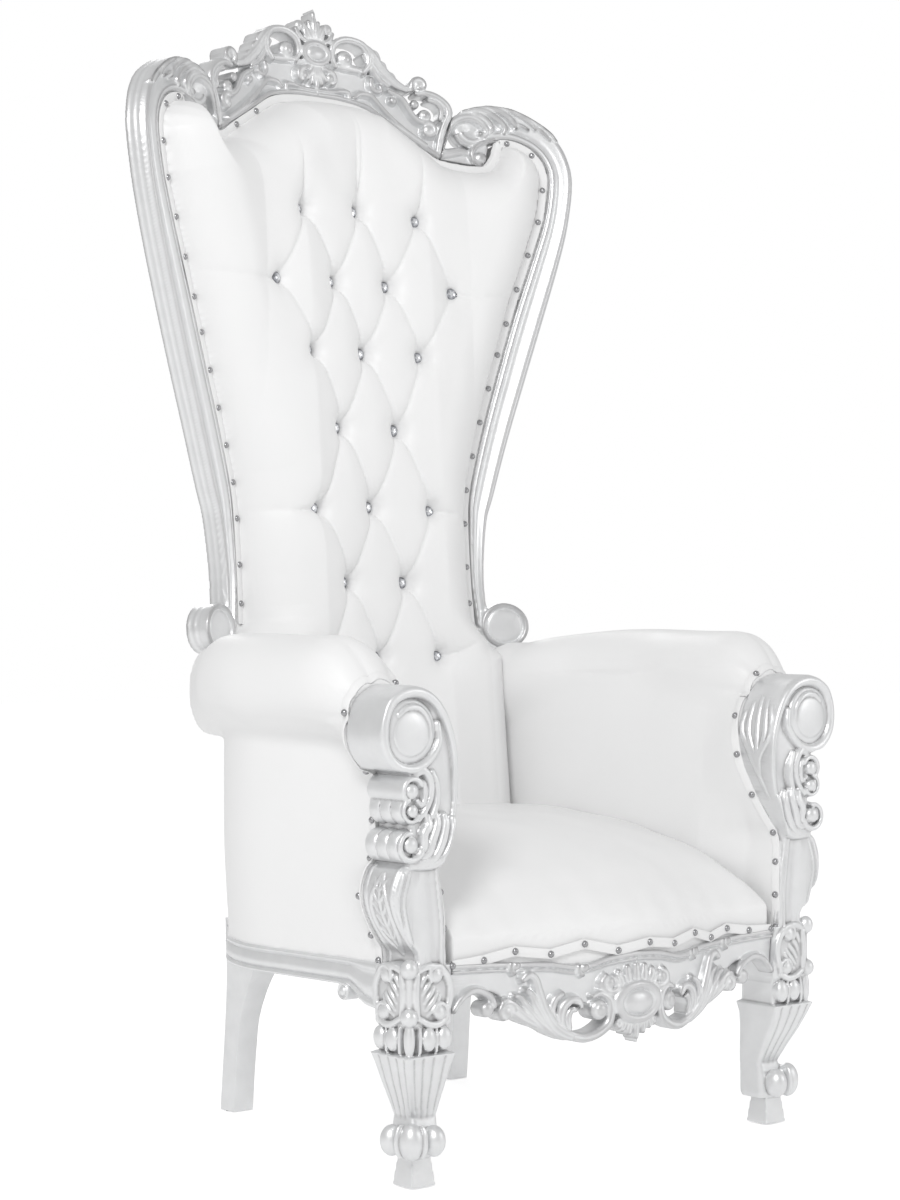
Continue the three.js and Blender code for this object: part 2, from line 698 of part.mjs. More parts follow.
function arm() {
  const stations = [-331, -308, -280, -170, -60, 40, 120, ARM_REAR_Y];
  const ring = (y) => {
    const outer = sideX(y) - 3;
    const inner = armInnerX(y);
    const radius = graph([[-331, 52], [-308, 62], [-280, ROLL_RADIUS]])(y);
    const centre = graph([[-331, 398], [-150, 404], [-60, 404], [40, 380], [120, 338], [ARM_REAR_Y, 313]])(y);
    const reach = graph([[-60, 1], [120, 0.85], [ARM_REAR_Y, 0.6]])(y);
    const height = graph([[-331, ROLL_Z - 6], [-280, ROLL_Z], [ARM_REAR_Y, ROLL_Z - 10]])(y);
    const roll = [-50, -10, 30, 75, 120, 165].map((degrees) => {
      const angle = THREE.MathUtils.degToRad(degrees);
      const x = centre + radius * Math.cos(angle) * (degrees < 90 ? reach : 1);
      return [Math.max(x, inner + 2), height + radius * Math.sin(angle)];
    });
    const panel = [[inner + 14, 600], [inner + 6, 520], [inner, 420], [inner, RAIL_TOP + 1]];
    const outside = [[outer, RAIL_TOP + 1], [outer + 9, 440], [outer + 12, 590]];
    return [...outside, ...roll, ...panel].map(([x, z]) => point(x, y, z));
  };
  const body = solid(skin(stations.map(ring)));
  const tongueTop = graph([[-398, 400], [-391, 455], [-366, 513], [-340, 574], [-331, 600]]);
  const tongueOuter = graph([[RAIL_TOP, 333], [445, 335], [520, 305], [600, 297]]);
  const tongue = solid(skin([-397, -391, -366, -340, -330].map((y) => {
    const levels = [0, 0.5, 1].map((share) => lerp(RAIL_TOP + 1, tongueTop(y), share));
    return [
      ...levels.map((z) => point(tongueOuter(z), y, z)),
      ...levels.reverse().map((z) => point(Math.min(armInnerX(y), tongueOuter(z) - 4), y, z)),
    ];
  })));
  return body.add(tongue);
}

function glide(x, y) {
  const geometry = new THREE.CylinderGeometry(GLIDE_RADIUS - 2, GLIDE_RADIUS, GLIDE_HEIGHT, 8);
  geometry.rotateX(Math.PI / 2);
  geometry.translate(x, y, GLIDE_HEIGHT / 2);
  return solid(geometry);
}

// The whole throne.

const stile = jointHalf(backStile(), 1);
const crest = jointHalf(mirrored(jointHalf(mirrored(crestRail()), -1)), -1);
let number = 0;
for (const [z, places] of BUTTON_ROWS) {
  for (const x of places) {
    number += 1;
    add(`back_button_${String(number).padStart(2, '0')}`, button(x, z), crystal);
  }
}

addPair('front_post', frontPost(), silverPaint);
addPair('rear_leg', rearLeg(), silverPaint);
addPair('seat_rail', sideRail(), silverPaint);
add('seat_rail_front', frontRail(), silverPaint);
add('seat_rail_rear', rearRail(), silverPaint);
addPair('back_stile', stile, silverPaint);
add('crest_rail', crest, silverPaint);
add('back_cushion', backCushion(), whiteVinyl);
add('outside_back_panel', outsideBack(), whiteVinyl);
add('seat_cushion', seatCushion(), whiteVinyl);
addPair('arm_upholstery', arm(), whiteVinyl);
add('back_gimp_band', backBand(), whiteBand);
add('seat_gimp_band', seatBand(), whiteBand);
addPair('foot_glide_front', glide(POST_X - 8, POST_Y + 8), nylon);
addPair('foot_glide_rear', glide(REAR_LEG_X - 9, REAR_LEG_Y + 4), nylon);

// The origin is under the middle of the throne, on the floor.
const box = new THREE.Box3().setFromObject(throne);
throne.position.y = -(box.min.y + box.max.y) / 2;

export default throne;
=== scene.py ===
"""A high-backed carved throne: silver-painted wood, white tufted leatherette, crystal buttons, dome nails.

Carved pieces are drawn in millimetres as strokes on a sheet, in x across and z up, then set on the face
of the frame. Everything else is in metres.
"""
import json
import math

import bpy
import numpy as np
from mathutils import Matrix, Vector


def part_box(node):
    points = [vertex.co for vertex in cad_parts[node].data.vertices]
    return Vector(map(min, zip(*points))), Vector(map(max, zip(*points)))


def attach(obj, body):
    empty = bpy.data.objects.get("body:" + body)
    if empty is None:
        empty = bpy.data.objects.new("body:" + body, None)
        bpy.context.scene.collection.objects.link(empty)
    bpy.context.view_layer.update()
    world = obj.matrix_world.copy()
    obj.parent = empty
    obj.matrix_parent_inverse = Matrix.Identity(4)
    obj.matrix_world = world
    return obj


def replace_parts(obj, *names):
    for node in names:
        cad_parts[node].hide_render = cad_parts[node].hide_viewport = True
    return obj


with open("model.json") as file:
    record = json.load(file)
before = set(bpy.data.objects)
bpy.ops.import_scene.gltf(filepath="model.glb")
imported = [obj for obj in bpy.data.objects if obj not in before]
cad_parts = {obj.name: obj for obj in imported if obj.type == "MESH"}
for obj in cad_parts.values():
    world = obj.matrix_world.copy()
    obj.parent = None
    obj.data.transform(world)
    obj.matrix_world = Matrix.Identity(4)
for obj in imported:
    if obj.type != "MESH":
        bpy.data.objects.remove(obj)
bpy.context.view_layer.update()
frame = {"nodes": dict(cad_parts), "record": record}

MM = 0.001
GLIDE_LOW, GLIDE_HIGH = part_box("foot_glide_front_right")
FOOT_Y = -357.0
SHIFT_Y = (GLIDE_LOW[1] + GLIDE_HIGH[1]) / 2 / MM - FOOT_Y


# Camera, floor and light

WORLD_LIGHT = 0.64
FLOOR_LIGHT, FLOOR_SEEN = 0.22, 0.50
CAMERA_LENS, CAMERA_SENSOR = 79.19, 36
CAMERA_PLACE = (-2.651, -3.210, 0.814)
CAMERA_AIM = (0.638, 0.770)
LIT_PLACE = (0, 0, 0.9)
LIGHTS = [
    # name, place, size, power
    ("key", (-3.2, -2.4, 3.2), 1.2, 70),
    ("fill", (2.6, -3.4, 1.8), 2.2, 16),
    ("back", (1.5, 3.2, 2.6), 1.6, 20),
]


def make_camera():
    data = bpy.data.cameras.new("camera")
    data.lens = CAMERA_LENS
    data.sensor_width = CAMERA_SENSOR
    camera = bpy.data.objects.new("camera", data)
    bpy.context.scene.collection.objects.link(camera)
    camera.location = (CAMERA_PLACE[0], CAMERA_PLACE[1] + SHIFT_Y * MM, CAMERA_PLACE[2])
    camera.rotation_euler = (math.radians(90), 0, -math.atan2(*CAMERA_AIM))
    bpy.context.scene.camera = camera


def area_light(name, place, size, power):
    data = bpy.data.lights.new(name, "AREA")
    data.shape = "DISK"
    data.size = size
    data.energy = power
    light = bpy.data.objects.new(name, data)
    bpy.context.scene.collection.objects.link(light)
    light.location = place
    light.rotation_euler = (Vector(LIT_PLACE) - Vector(place)).to_track_quat("-Z", "Y").to_euler()


def seen_level(nodes, links, as_light, to_camera):
    """One strength as light on the throne, another as the camera sees it."""
    path = nodes.new("ShaderNodeLightPath")
    level = nodes.new("ShaderNodeMapRange")
    level.inputs["To Min"].default_value = as_light
    level.inputs["To Max"].default_value = to_camera
    links.new(path.outputs["Is Camera Ray"], level.inputs["Value"])
    return level.outputs["Result"]


def make_studio():
    bpy.context.scene.view_settings.view_transform = "Standard"
    world = bpy.data.worlds.new("studio")
    world.use_nodes = True
    nodes, links = world.node_tree.nodes, world.node_tree.links
    nodes["Background"].inputs["Color"].default_value = (1, 1, 1, 1)
    links.new(seen_level(nodes, links, WORLD_LIGHT, 1.0), nodes["Background"].inputs["Strength"])
    bpy.context.scene.world = world
    for light in LIGHTS:
        area_light(*light)
    bpy.ops.object.select_all(action="DESELECT")
    bpy.ops.mesh.primitive_plane_add(size=30, location=(0, 0, 0))
    floor = bpy.context.object
    floor.name = "floor"
    floor.data.materials.append(MATERIALS["floor"])


# Materials

def new_material(name):
    material = bpy.data.materials.new(name)
    material.use_nodes = True
    nodes = material.node_tree.nodes
    return material, nodes, material.node_tree.links, nodes["Principled BSDF"]


def grey(level):
    return (level, level, level)


def noise(nodes, links, scale, detail=2.0, roughness=0.5):
    place = nodes.new("ShaderNodeTexCoord")
    texture = nodes.new("ShaderNodeTexNoise")
    texture.inputs["Scale"].default_value = scale
    texture.inputs["Detail"].default_value = detail
    texture.inputs["Roughness"].default_value = roughness
    links.new(place.outputs["Object"], texture.inputs["Vector"])
    return texture.outputs["Fac"]


def ramp(nodes, links, source, stops):
    node = nodes.new("ShaderNodeValToRGB")
    node.color_ramp.elements[0].position = stops[0][0]
    node.color_ramp.elements[0].color = (*stops[0][1], 1)
    node.color_ramp.elements[1].position = stops[-1][0]
    node.color_ramp.elements[1].color = (*stops[-1][1], 1)
    for position, color in stops[1:-1]:
        node.color_ramp.elements.new(position).color = (*color, 1)
    links.new(source, node.inputs["Fac"])
    return node.outputs["Color"]


def bump(nodes, links, shader, source, strength, distance):
    node = nodes.new("ShaderNodeBump")
    node.inputs["Strength"].default_value = strength
    node.inputs["Distance"].default_value = distance
    links.new(source, node.inputs["Height"])
    links.new(node.outputs["Normal"], shader.inputs["Normal"])


def silver_paint():
    material, nodes, links, shader = new_material("silver_paint")
    shader.inputs["Metallic"].default_value = 0.82
    painted_hollow_shade = nodes.new("ShaderNodeAttribute")
    painted_hollow_shade.attribute_name = "painted_hollow_shade"
    # painted shade: the silver darkens from light to near black in the hollows, where shade falls
    stops = [(0.0, (0.83, 0.835, 0.84)), (0.35, (0.66, 0.66, 0.665)), (1.0, (0.20, 0.20, 0.202))]
    dark = ramp(nodes, links, painted_hollow_shade.outputs["Fac"], stops)
    mottle = ramp(nodes, links, noise(nodes, links, 38, 4), [(0.3, grey(0.955)), (0.7, grey(1))])
    mix = nodes.new("ShaderNodeMixRGB")
    mix.blend_type = "MULTIPLY"
    mix.inputs["Fac"].default_value = 1
    links.new(dark, mix.inputs["Color1"])
    links.new(mottle, mix.inputs["Color2"])
    links.new(mix.outputs["Color"], shader.inputs["Base Color"])
    rough = ramp(nodes, links, noise(nodes, links, 90, 3), [(0.25, grey(0.33)), (0.75, grey(0.46))])
    links.new(rough, shader.inputs["Roughness"])
    bump(nodes, links, shader, noise(nodes, links, 420, 4, 0.6), 0.10, 0.002)
    return material


def white_vinyl(name, shade):
    material, nodes, links, shader = new_material(name)
    tint = ramp(nodes, links, noise(nodes, links, 5, 3), [(0.3, grey(shade * 0.985)), (0.7, grey(shade))])
    links.new(tint, shader.inputs["Base Color"])
    rough = ramp(nodes, links, noise(nodes, links, 14, 3), [(0.3, grey(0.36)), (0.7, grey(0.48))])
    links.new(rough, shader.inputs["Roughness"])
    shader.inputs["Specular IOR Level"].default_value = 0.45
    grain = nodes.new("ShaderNodeTexVoronoi")
    grain.feature = "DISTANCE_TO_EDGE"
    grain.inputs["Scale"].default_value = 620
    place = nodes.new("ShaderNodeTexCoord")
    links.new(place.outputs["Object"], grain.inputs["Vector"])
    together = nodes.new("ShaderNodeMath")
    together.operation = "MULTIPLY_ADD"
    together.inputs[1].default_value = 0.25
    links.new(grain.outputs["Distance"], together.inputs[0])
    links.new(noise(nodes, links, 26, 5, 0.62), together.inputs[2])
    bump(nodes, links, shader, together.outputs["Value"], 0.12, 0.004)
    return material


def plain_material(name, color, roughness, metallic=0.0):
    material, nodes, links, shader = new_material(name)
    shader.inputs["Metallic"].default_value = metallic
    worn = tuple(c * 0.93 for c in color)
    tint = ramp(nodes, links, noise(nodes, links, 60, 2), [(0.3, worn), (0.7, color)])
    links.new(tint, shader.inputs["Base Color"])
    shader.inputs["Roughness"].default_value = roughness
    return material


def floor_material():
    material, nodes, links, shader = new_material("floor")
    shader.inputs["Base Color"].default_value = (0.82, 0.82, 0.82, 1)
    shader.inputs["Roughness"].default_value = 0.9
    shader.inputs["Emission Color"].default_value = (1, 1, 1, 1)
    links.new(seen_level(nodes, links, FLOOR_LIGHT, FLOOR_SEEN), shader.inputs["Emission Strength"])
    return material


def crystal_material():
    material, nodes, links, shader = new_material("crystal")
    painted_reflection = nodes.new("ShaderNodeAttribute")
    painted_reflection.attribute_name = "painted_reflection"
    # painted reflection: white at the stone's middle, darkening to near black at its rim
    stops = [(0.0, (0.95, 0.96, 0.98)), (0.45, (0.46, 0.47, 0.50)), (1.0, (0.14, 0.145, 0.155))]
    links.new(ramp(nodes, links, painted_reflection.outputs["Fac"], stops), shader.inputs["Base Color"])
    shader.inputs["Metallic"].default_value = 0.85
    shader.inputs["Roughness"].default_value = 0.08
    shader.inputs["IOR"].default_value = 1.7
    return material


MATERIALS = {
    "silver_paint": silver_paint(),
    "white_vinyl": white_vinyl("white_vinyl", 0.87),
    "white_band": white_vinyl("white_band", 0.86),
    "crystal": crystal_material(),
    "nail_silver": plain_material("nail_silver", (0.40, 0.40, 0.41), 0.24, 1.0),
    "nylon": plain_material("nylon", (0.03, 0.03, 0.03), 0.6),
    "floor": floor_material(),
}


# Meshes from arrays

def mesh_object(name, points, faces, material, smooth=True):
    mesh = bpy.data.meshes.new(name)
    points = np.asarray(points, np.float32)
    faces = np.asarray(faces, np.int32)
    size = faces.shape[1]
    mesh.vertices.add(len(points))
    mesh.vertices.foreach_set("co", points.ravel())
    mesh.loops.add(faces.size)
    mesh.loops.foreach_set("vertex_index", faces.ravel())
    mesh.polygons.add(len(faces))
    mesh.polygons.foreach_set("loop_start", np.arange(0, faces.size, size, dtype=np.int32))
    mesh.polygons.foreach_set("use_smooth", np.full(len(faces), smooth))
    mesh.update(calc_edges=True)
    mesh.validate()
    mesh.materials.append(MATERIALS[material])
    thing = bpy.data.objects.new(name, mesh)
    bpy.context.scene.collection.objects.link(thing)
    return thing


def neighbour_mean(points, faces, rounds):
    """Each point moved to the mean of its neighbours, a number of times."""
    one = faces.ravel()
    two = np.roll(faces, -1, axis=1).ravel()
    start, end = np.concatenate([one, two]), np.concatenate([two, one])
    count = np.bincount(start, minlength=len(points)).clip(1)[:, None]
    for _ in range(rounds):
        total = np.stack([np.bincount(start, points[end, k], len(points)) for k in range(3)], 1)
        points = total / count
    return points


def normals_of(points, faces):
    a, b, c = (points[faces[:, k]] for k in (0, 1, 2))
    face_normals = np.cross(b - a, c - a)
    total = np.zeros_like(points)
    for k in range(faces.shape[1]):
        for axis in range(3):
            total[:, axis] += np.bincount(faces[:, k], face_normals[:, axis], len(points))
    return total / np.maximum(np.linalg.norm(total, axis=1, keepdims=True), 1e-12)


def surface_net(field, low, step):
    """Points and quads round the space where the field is above zero."""
    inside = field > 0
    count = np.zeros(tuple(n - 1 for n in field.shape), np.int8)
    corners = [(i, j, k) for i in (0, 1) for j in (0, 1) for k in (0, 1)]
    window = lambda array, c: array[tuple(slice(c[a], array.shape[a] - 1 + c[a]) for a in range(3))]
    for c in corners:
        count += window(inside, c)
    cells = np.argwhere((count > 0) & (count < 8))
    values = {c: field[tuple((cells + c).T)] for c in corners}
    total = np.zeros((len(cells), 3))
    crossings = np.zeros(len(cells))
    for axis in range(3):
        for c in corners:
            if c[axis]:
                continue
            other = tuple(v + (a == axis) for a, v in enumerate(c))
            first, second = values[c], values[other]
            crossed = (first > 0) != (second > 0)
            share = np.where(crossed, first / np.where(crossed, first - second, 1), 0)
            for a in range(3):
                total[:, a] += crossed * (c[a] + (share if a == axis else 0))
            crossings += crossed
    points = (cells + total / crossings[:, None]) * step + np.asarray(low)
    number = np.full(count.shape, -1, np.int32)
    number[tuple(cells.T)] = np.arange(len(cells))
    faces = []
    for axis in range(3):
        u, v = (axis + 1) % 3, (axis + 2) % 3
        ahead = np.zeros(3, int)
        ahead[axis] = 1
        near = inside[tuple(slice(0, field.shape[a] - ahead[a]) for a in range(3))]
        far = inside[tuple(slice(ahead[a], field.shape[a]) for a in range(3))]
        at = np.argwhere(near != far)
        at = at[(at[:, u] > 0) & (at[:, v] > 0) & (at[:, u] < count.shape[u]) & (at[:, v] < count.shape[v])]
        leaving = near[tuple(at.T)]
        ring = []
        for du, dv in ((-1, -1), (0, -1), (0, 0), (-1, 0)):
            spot = at.copy()
            spot[:, u] += du
            spot[:, v] += dv
            ring.append(number[tuple(spot.T)])
        quad = np.stack(ring, 1)
        quad[~leaving] = quad[~leaving][:, ::-1]
        faces.append(quad)
    return points, np.concatenate(faces)


def thin_out(thing, ratio):
    modifier = thing.modifiers.new("thin", "DECIMATE")
    modifier.ratio = ratio
    bpy.ops.object.select_all(action="DESELECT")
    thing.select_set(True)
    bpy.context.view_layer.objects.active = thing
    bpy.ops.object.modifier_apply(modifier="thin")
    thing.data.polygons.foreach_set("use_smooth", np.full(len(thing.data.polygons), True))
    return thing


# share of each piece's faces that stays when its flat stretches are thinned out
KEEP = {"crest": 0.54, "stile": 0.60, "rail": 0.54, "post": 0.58, "back": 0.43, "seat": 0.6}
# depth of a hollow, in millimetres, at which its painted shade is darkest
HOLLOW_DEPTH = 1.6


def carved_object(name, points, faces, keep, soften=1):
    """A carved piece in metres, slightly softened, with its hollows marked for painted shade."""
    for _ in range(soften):
        points = points + 0.5 * (neighbour_mean(points, faces, 1) - points)
    wide = neighbour_mean(points, faces, 10)
    # how deep each point lies in a hollow, which sets the painted shade there
    hollow = np.einsum("ij,ij->i", wide - points, normals_of(points, faces)) / (HOLLOW_DEPTH * MM)
    thing = mesh_object(name, points, faces, "silver_paint")
    mark = thing.data.attributes.new("painted_hollow_shade", "FLOAT", "POINT")
    mark.data.foreach_set("value", np.clip(hollow, 0, 1).astype(np.float32))
    return thin_out(thing, keep)


def mirror_copy(thing):
    """The left-hand twin of a right-hand piece."""
    name = thing.name.replace("right", "left")
    mesh = thing.data.copy()
    mesh.name = name
    points = np.empty(len(mesh.vertices) * 3, np.float32)
    mesh.vertices.foreach_get("co", points)
    points[0::3] *= -1
    mesh.vertices.foreach_set("co", points)
    mesh.flip_normals()
    twin = bpy.data.objects.new(name, mesh)
    bpy.context.scene.collection.objects.link(twin)
    return twin


def settle(thing, slot, *nodes):
    """The piece belongs to the throne and stands in for its CAD nodes; the slot is not used."""
    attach(thing, "root")
    if nodes:
        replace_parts(thing, *nodes)
    return thing


def settle_both(right, slot, node):
    """A right-hand piece and its mirror image, each in place of its own node."""
    left = mirror_copy(right)
    settle(right, slot, f"{node}_right")
    settle(left, slot, f"{node}_left")


# Places on the frame, in millimetres

BACK_Y, BACK_Z = 283.0, 977.0
BACK_RAKE, BACK_BOW = 0.085, 0.00075
RAIL_FACE, RAIL_BOW, RAIL_BOW_HALF = -400.0, 33.0, 250.0


def on_back(x, z, out):
    """A point of the bowed, raked face of the back, moved out of it, in metres."""
    y = BACK_Y + BACK_RAKE * (z - BACK_Z) - BACK_BOW * x * x
    nx, ny, nz = 2 * BACK_BOW * x, np.ones_like(x), np.full_like(x, -BACK_RAKE)
    length = np.sqrt(nx * nx + ny * ny + nz * nz)
    nx, ny, nz = nx / length, ny / length, nz / length
    return np.stack([x - nx * out, y - ny * out + SHIFT_Y, z - nz * out], -1) * MM


def rail_face(x):
    bow = RAIL_BOW / 2 * (1 + np.cos(np.pi * x / RAIL_BOW_HALF))
    return RAIL_FACE - np.where(np.abs(x) < RAIL_BOW_HALF, bow, 0)


def on_rail(x, z, out):
    return np.stack([x, rail_face(x) - out + SHIFT_Y, z], -1) * MM


# Drawing of carved relief

def smooth_path(rows, steps=8):
    """A curve through rows of numbers, the first two of them a place."""
    p = np.array(rows, float)
    p = np.vstack([2 * p[0] - p[1], p, 2 * p[-1] - p[-2]])
    line = []
    for a, b, c, d in zip(p[:-3], p[1:-2], p[2:-1], p[3:]):
        for t in np.linspace(0, 1, steps, endpoint=False):
            line.append(0.5 * (2 * b + (c - a) * t + (2 * a - 5 * b + 4 * c - d) * t ** 2
                               + (3 * b - 3 * c + d - a) * t ** 3))
    line.append(p[-2])
    return np.array(line)


def spiral(x, z, radii, angles, widths, rises, count=14):
    """Rows for a stroke that winds in or out round a centre."""
    share = np.linspace(0, 1, count)
    mix = lambda pair: pair[0] + (pair[1] - pair[0]) * share
    radius, angle = mix(radii), np.radians(mix(angles))
    return np.stack([x + radius * np.cos(angle), z + radius * np.sin(angle), mix(widths), mix(rises)], 1)


class Carving:
    """A sheet of wood: its height at each point, and how far each point lies inside its outline."""

    def __init__(self, low, high, step):
        self.step = step
        self.low = low
        xs = np.arange(low[0], high[0] + step, step)
        zs = np.arange(low[1], high[1] + step, step)
        self.x, self.z = np.meshgrid(xs, zs, indexing="ij")
        self.height = np.full(self.x.shape, -60.0)
        self.inside = np.full(self.x.shape, -20.0)

    def window(self, points, reach):
        low = np.floor((points.min(0) - reach - self.low) / self.step).astype(int).clip(0)
        high = np.ceil((points.max(0) + reach - self.low) / self.step).astype(int).clip(1) + 1
        return slice(low[0], high[0]), slice(low[1], high[1])

    def raise_to(self, area, gain, inside=None):
        self.height[area] = np.maximum(self.height[area], gain)
        if inside is not None:
            self.inside[area] = np.maximum(self.inside[area], inside)

    def across(self, line, area):
        """For each point: the signed share of the stroke's half width, that half width, and the rise."""
        x, z = self.x[area], self.z[area]
        best = np.full(x.shape, 1e9)
        side, width, rise = np.ones_like(x), np.ones_like(x), np.zeros_like(x)
        for a, b in zip(line[:-1], line[1:]):
            dx, dz = b[0] - a[0], b[1] - a[1]
            u = (((x - a[0]) * dx + (z - a[1]) * dz) / max(dx * dx + dz * dz, 1e-9)).clip(0, 1)
            px, pz = x - a[0] - u * dx, z - a[1] - u * dz
            w = a[2] + u * (b[2] - a[2])
            rel = np.hypot(px, pz) / w
            near = rel < best
            best = np.where(near, rel, best)
            side = np.where(near, np.sign(dx * pz - dz * px), side)
            width = np.where(near, w, width)
            rise = np.where(near, a[3] + u * (b[3] - a[3]), rise)
        return best * side, width, rise

    def stroke(self, rows, through=False, groove=0.0):
        """A rounded strand along rows of [x, z, half width, rise]."""
        line = smooth_path(rows)
        area = self.window(line[:, :2], line[:, 2].max() * 1.6 + 4)
        t, width, rise = self.across(line, area)
        near = np.abs(t)
        curve = rise - width * (1 - np.sqrt(np.clip(1 - near ** 2, 0, 1)))
        curve -= groove * np.exp(-(t / 0.22) ** 2)
        gain = np.where(near < 1, curve, rise - width - (near - 1) * width * 2.5)
        self.raise_to(area, gain, width * (1 - near) if through else None)

    def strokes(self, *many, **how):
        for rows in many:
            self.stroke(rows, **how)

    def moulding(self, inner, outer, profile):
        """A moulded member between two edge lines; the profile is [share of the width, rise]."""
        inner, outer = smooth_path(inner), smooth_path(outer)
        half = np.hypot(*(outer - inner).T) / 2
        line = np.column_stack([(inner + outer) / 2, half, half * 0])
        area = self.window(line[:, :2], half.max() + 12)
        t, width, _ = self.across(line, area)
        shares, rises = zip(*profile)
        rise = np.interp((1 - t) / 2, shares, rises)
        self.raise_to(area, rise, width * (1 - np.abs(t)))

    def dome(self, x, z, rx, rz, rise, sag, through=False):
        area = self.window(np.array([[x, z]]), max(rx, rz) * 1.3 + 3)
        e = np.hypot((self.x[area] - x) / rx, (self.z[area] - z) / rz)
        top = rise - sag * (1 - np.sqrt(np.clip(1 - e * e, 0, 1)))
        gain = np.where(e < 1, top, rise - sag - (e - 1) * rx * 2.5)
        self.raise_to(area, gain, min(rx, rz) * (1 - e) if through else None)

    def ring(self, x, z, rx, rz, width, rise, through=False):
        area = self.window(np.array([[x, z]]), max(rx, rz) + width * 2 + 3)
        e = np.hypot((self.x[area] - x) / rx, (self.z[area] - z) / rz)
        t = np.abs(e - 1) * min(rx, rz) / width
        top = rise - width * (1 - np.sqrt(np.clip(1 - t * t, 0, 1)))
        gain = np.where(t < 1, top, rise - width - (t - 1) * width)
        self.raise_to(area, gain, width * (1 - t) if through else None)

    def eye(self, x, z, radius, rise, through=False):
        """A ball that ends a scroll."""
        self.dome(x, z, radius, radius, rise, radius * 0.8, through)

    def shape_distance(self, outline):
        x, z = self.x, self.z
        distance = np.full(x.shape, 1e9)
        within = np.zeros(x.shape, bool)
        points = [tuple(p) for p in outline]
        for (ax, az), (bx, bz) in zip(points, points[1:] + points[:1]):
            dx, dz = bx - ax, bz - az
            on_mirror_line = self.low[0] == 0 and ax <= 0 and bx <= 0
            if not on_mirror_line:
                u = (((x - ax) * dx + (z - az) * dz) / max(dx * dx + dz * dz, 1e-9)).clip(0, 1)
                distance = np.minimum(distance, np.hypot(x - ax - u * dx, z - az - u * dz))
            if dz:
                within ^= ((az > z) != (bz > z)) & (x < dx * (z - az) / dz + ax)
        return np.where(within, distance, -distance)

    def board(self, outline, height):
        inside = self.shape_distance(outline)
        self.raise_to(slice(None), np.where(inside > -6, height(self.x, self.z, inside), -60), inside)

    def mirrored(self):
        both = Carving.__new__(Carving)
        both.step = self.step
        both.low = (-self.x[-1, 0], self.low[1])
        for name in ("x", "z", "height", "inside"):
            half = getattr(self, name)
            left = half[:0:-1] * (-1 if name == "x" else 1)
            setattr(both, name, np.concatenate([left, half]))
        return both

    def cut(self, back, place, flutes=None, joint=None):
        """The solid wood behind the sheet, as points in metres and quads."""
        outs = np.arange(back - 2 * self.step, self.height.max() + 3 * self.step, self.step)
        inside = self.inside if joint is None else np.minimum(self.inside, joint)
        field = np.minimum(self.height[:, :, None] - outs, outs - back)
        wall = inside[:, :, None] - (flutes(outs) if flutes else 0)
        field = np.minimum(field, wall)
        field[[0, -1]] = -1
        field[:, [0, -1]] = -1
        points, faces = surface_net(field, (self.low[0], self.low[1], outs[0]), self.step)
        return place(points[:, 0], points[:, 1], points[:, 2]), faces[:, ::-1]


def fan(cx, cz, tips, root_width, tip_width, rise):
    """Strokes that spread from near a centre to several tips, each a little lower at its root."""
    rows = []
    for tx, tz in tips:
        rows.append([[cx, cz, root_width, rise - 2],
                     [(cx + tx) / 2, (cz + tz) / 2, (root_width + tip_width) / 2, rise],
                     [tx, tz, tip_width, rise - 1]])
    return rows


# Crest rail

CREST_LOWER = [[0, 1657], [35, 1656], [70, 1652], [100, 1645], [130, 1628], [160, 1610], [190, 1592],
               [234, 1568]]
CREST_UPPER = [[0, 1716], [38, 1718], [80, 1715], [112, 1708], [140, 1690], [160, 1674], [184, 1650],
               [236, 1606]]
JOINT_FOOT, JOINT_HEAD = (228.0, 1568.0), (258.0, 1660.0)
JOINT_GAP = 0.2
FRAME_BACK, CREST_BACK, RAIL_BACK = -34.0, -27.0, -24.0


def joint_side(carving, side):
    """Distance from the slanting joint between crest and shoulder."""
    dx, dz = JOINT_HEAD[0] - JOINT_FOOT[0], JOINT_HEAD[1] - JOINT_FOOT[1]
    length = math.hypot(dx, dz)
    across = (np.abs(carving.x) - JOINT_FOOT[0]) * dz - (carving.z - JOINT_FOOT[1]) * dx
    return side * across / length - JOINT_GAP


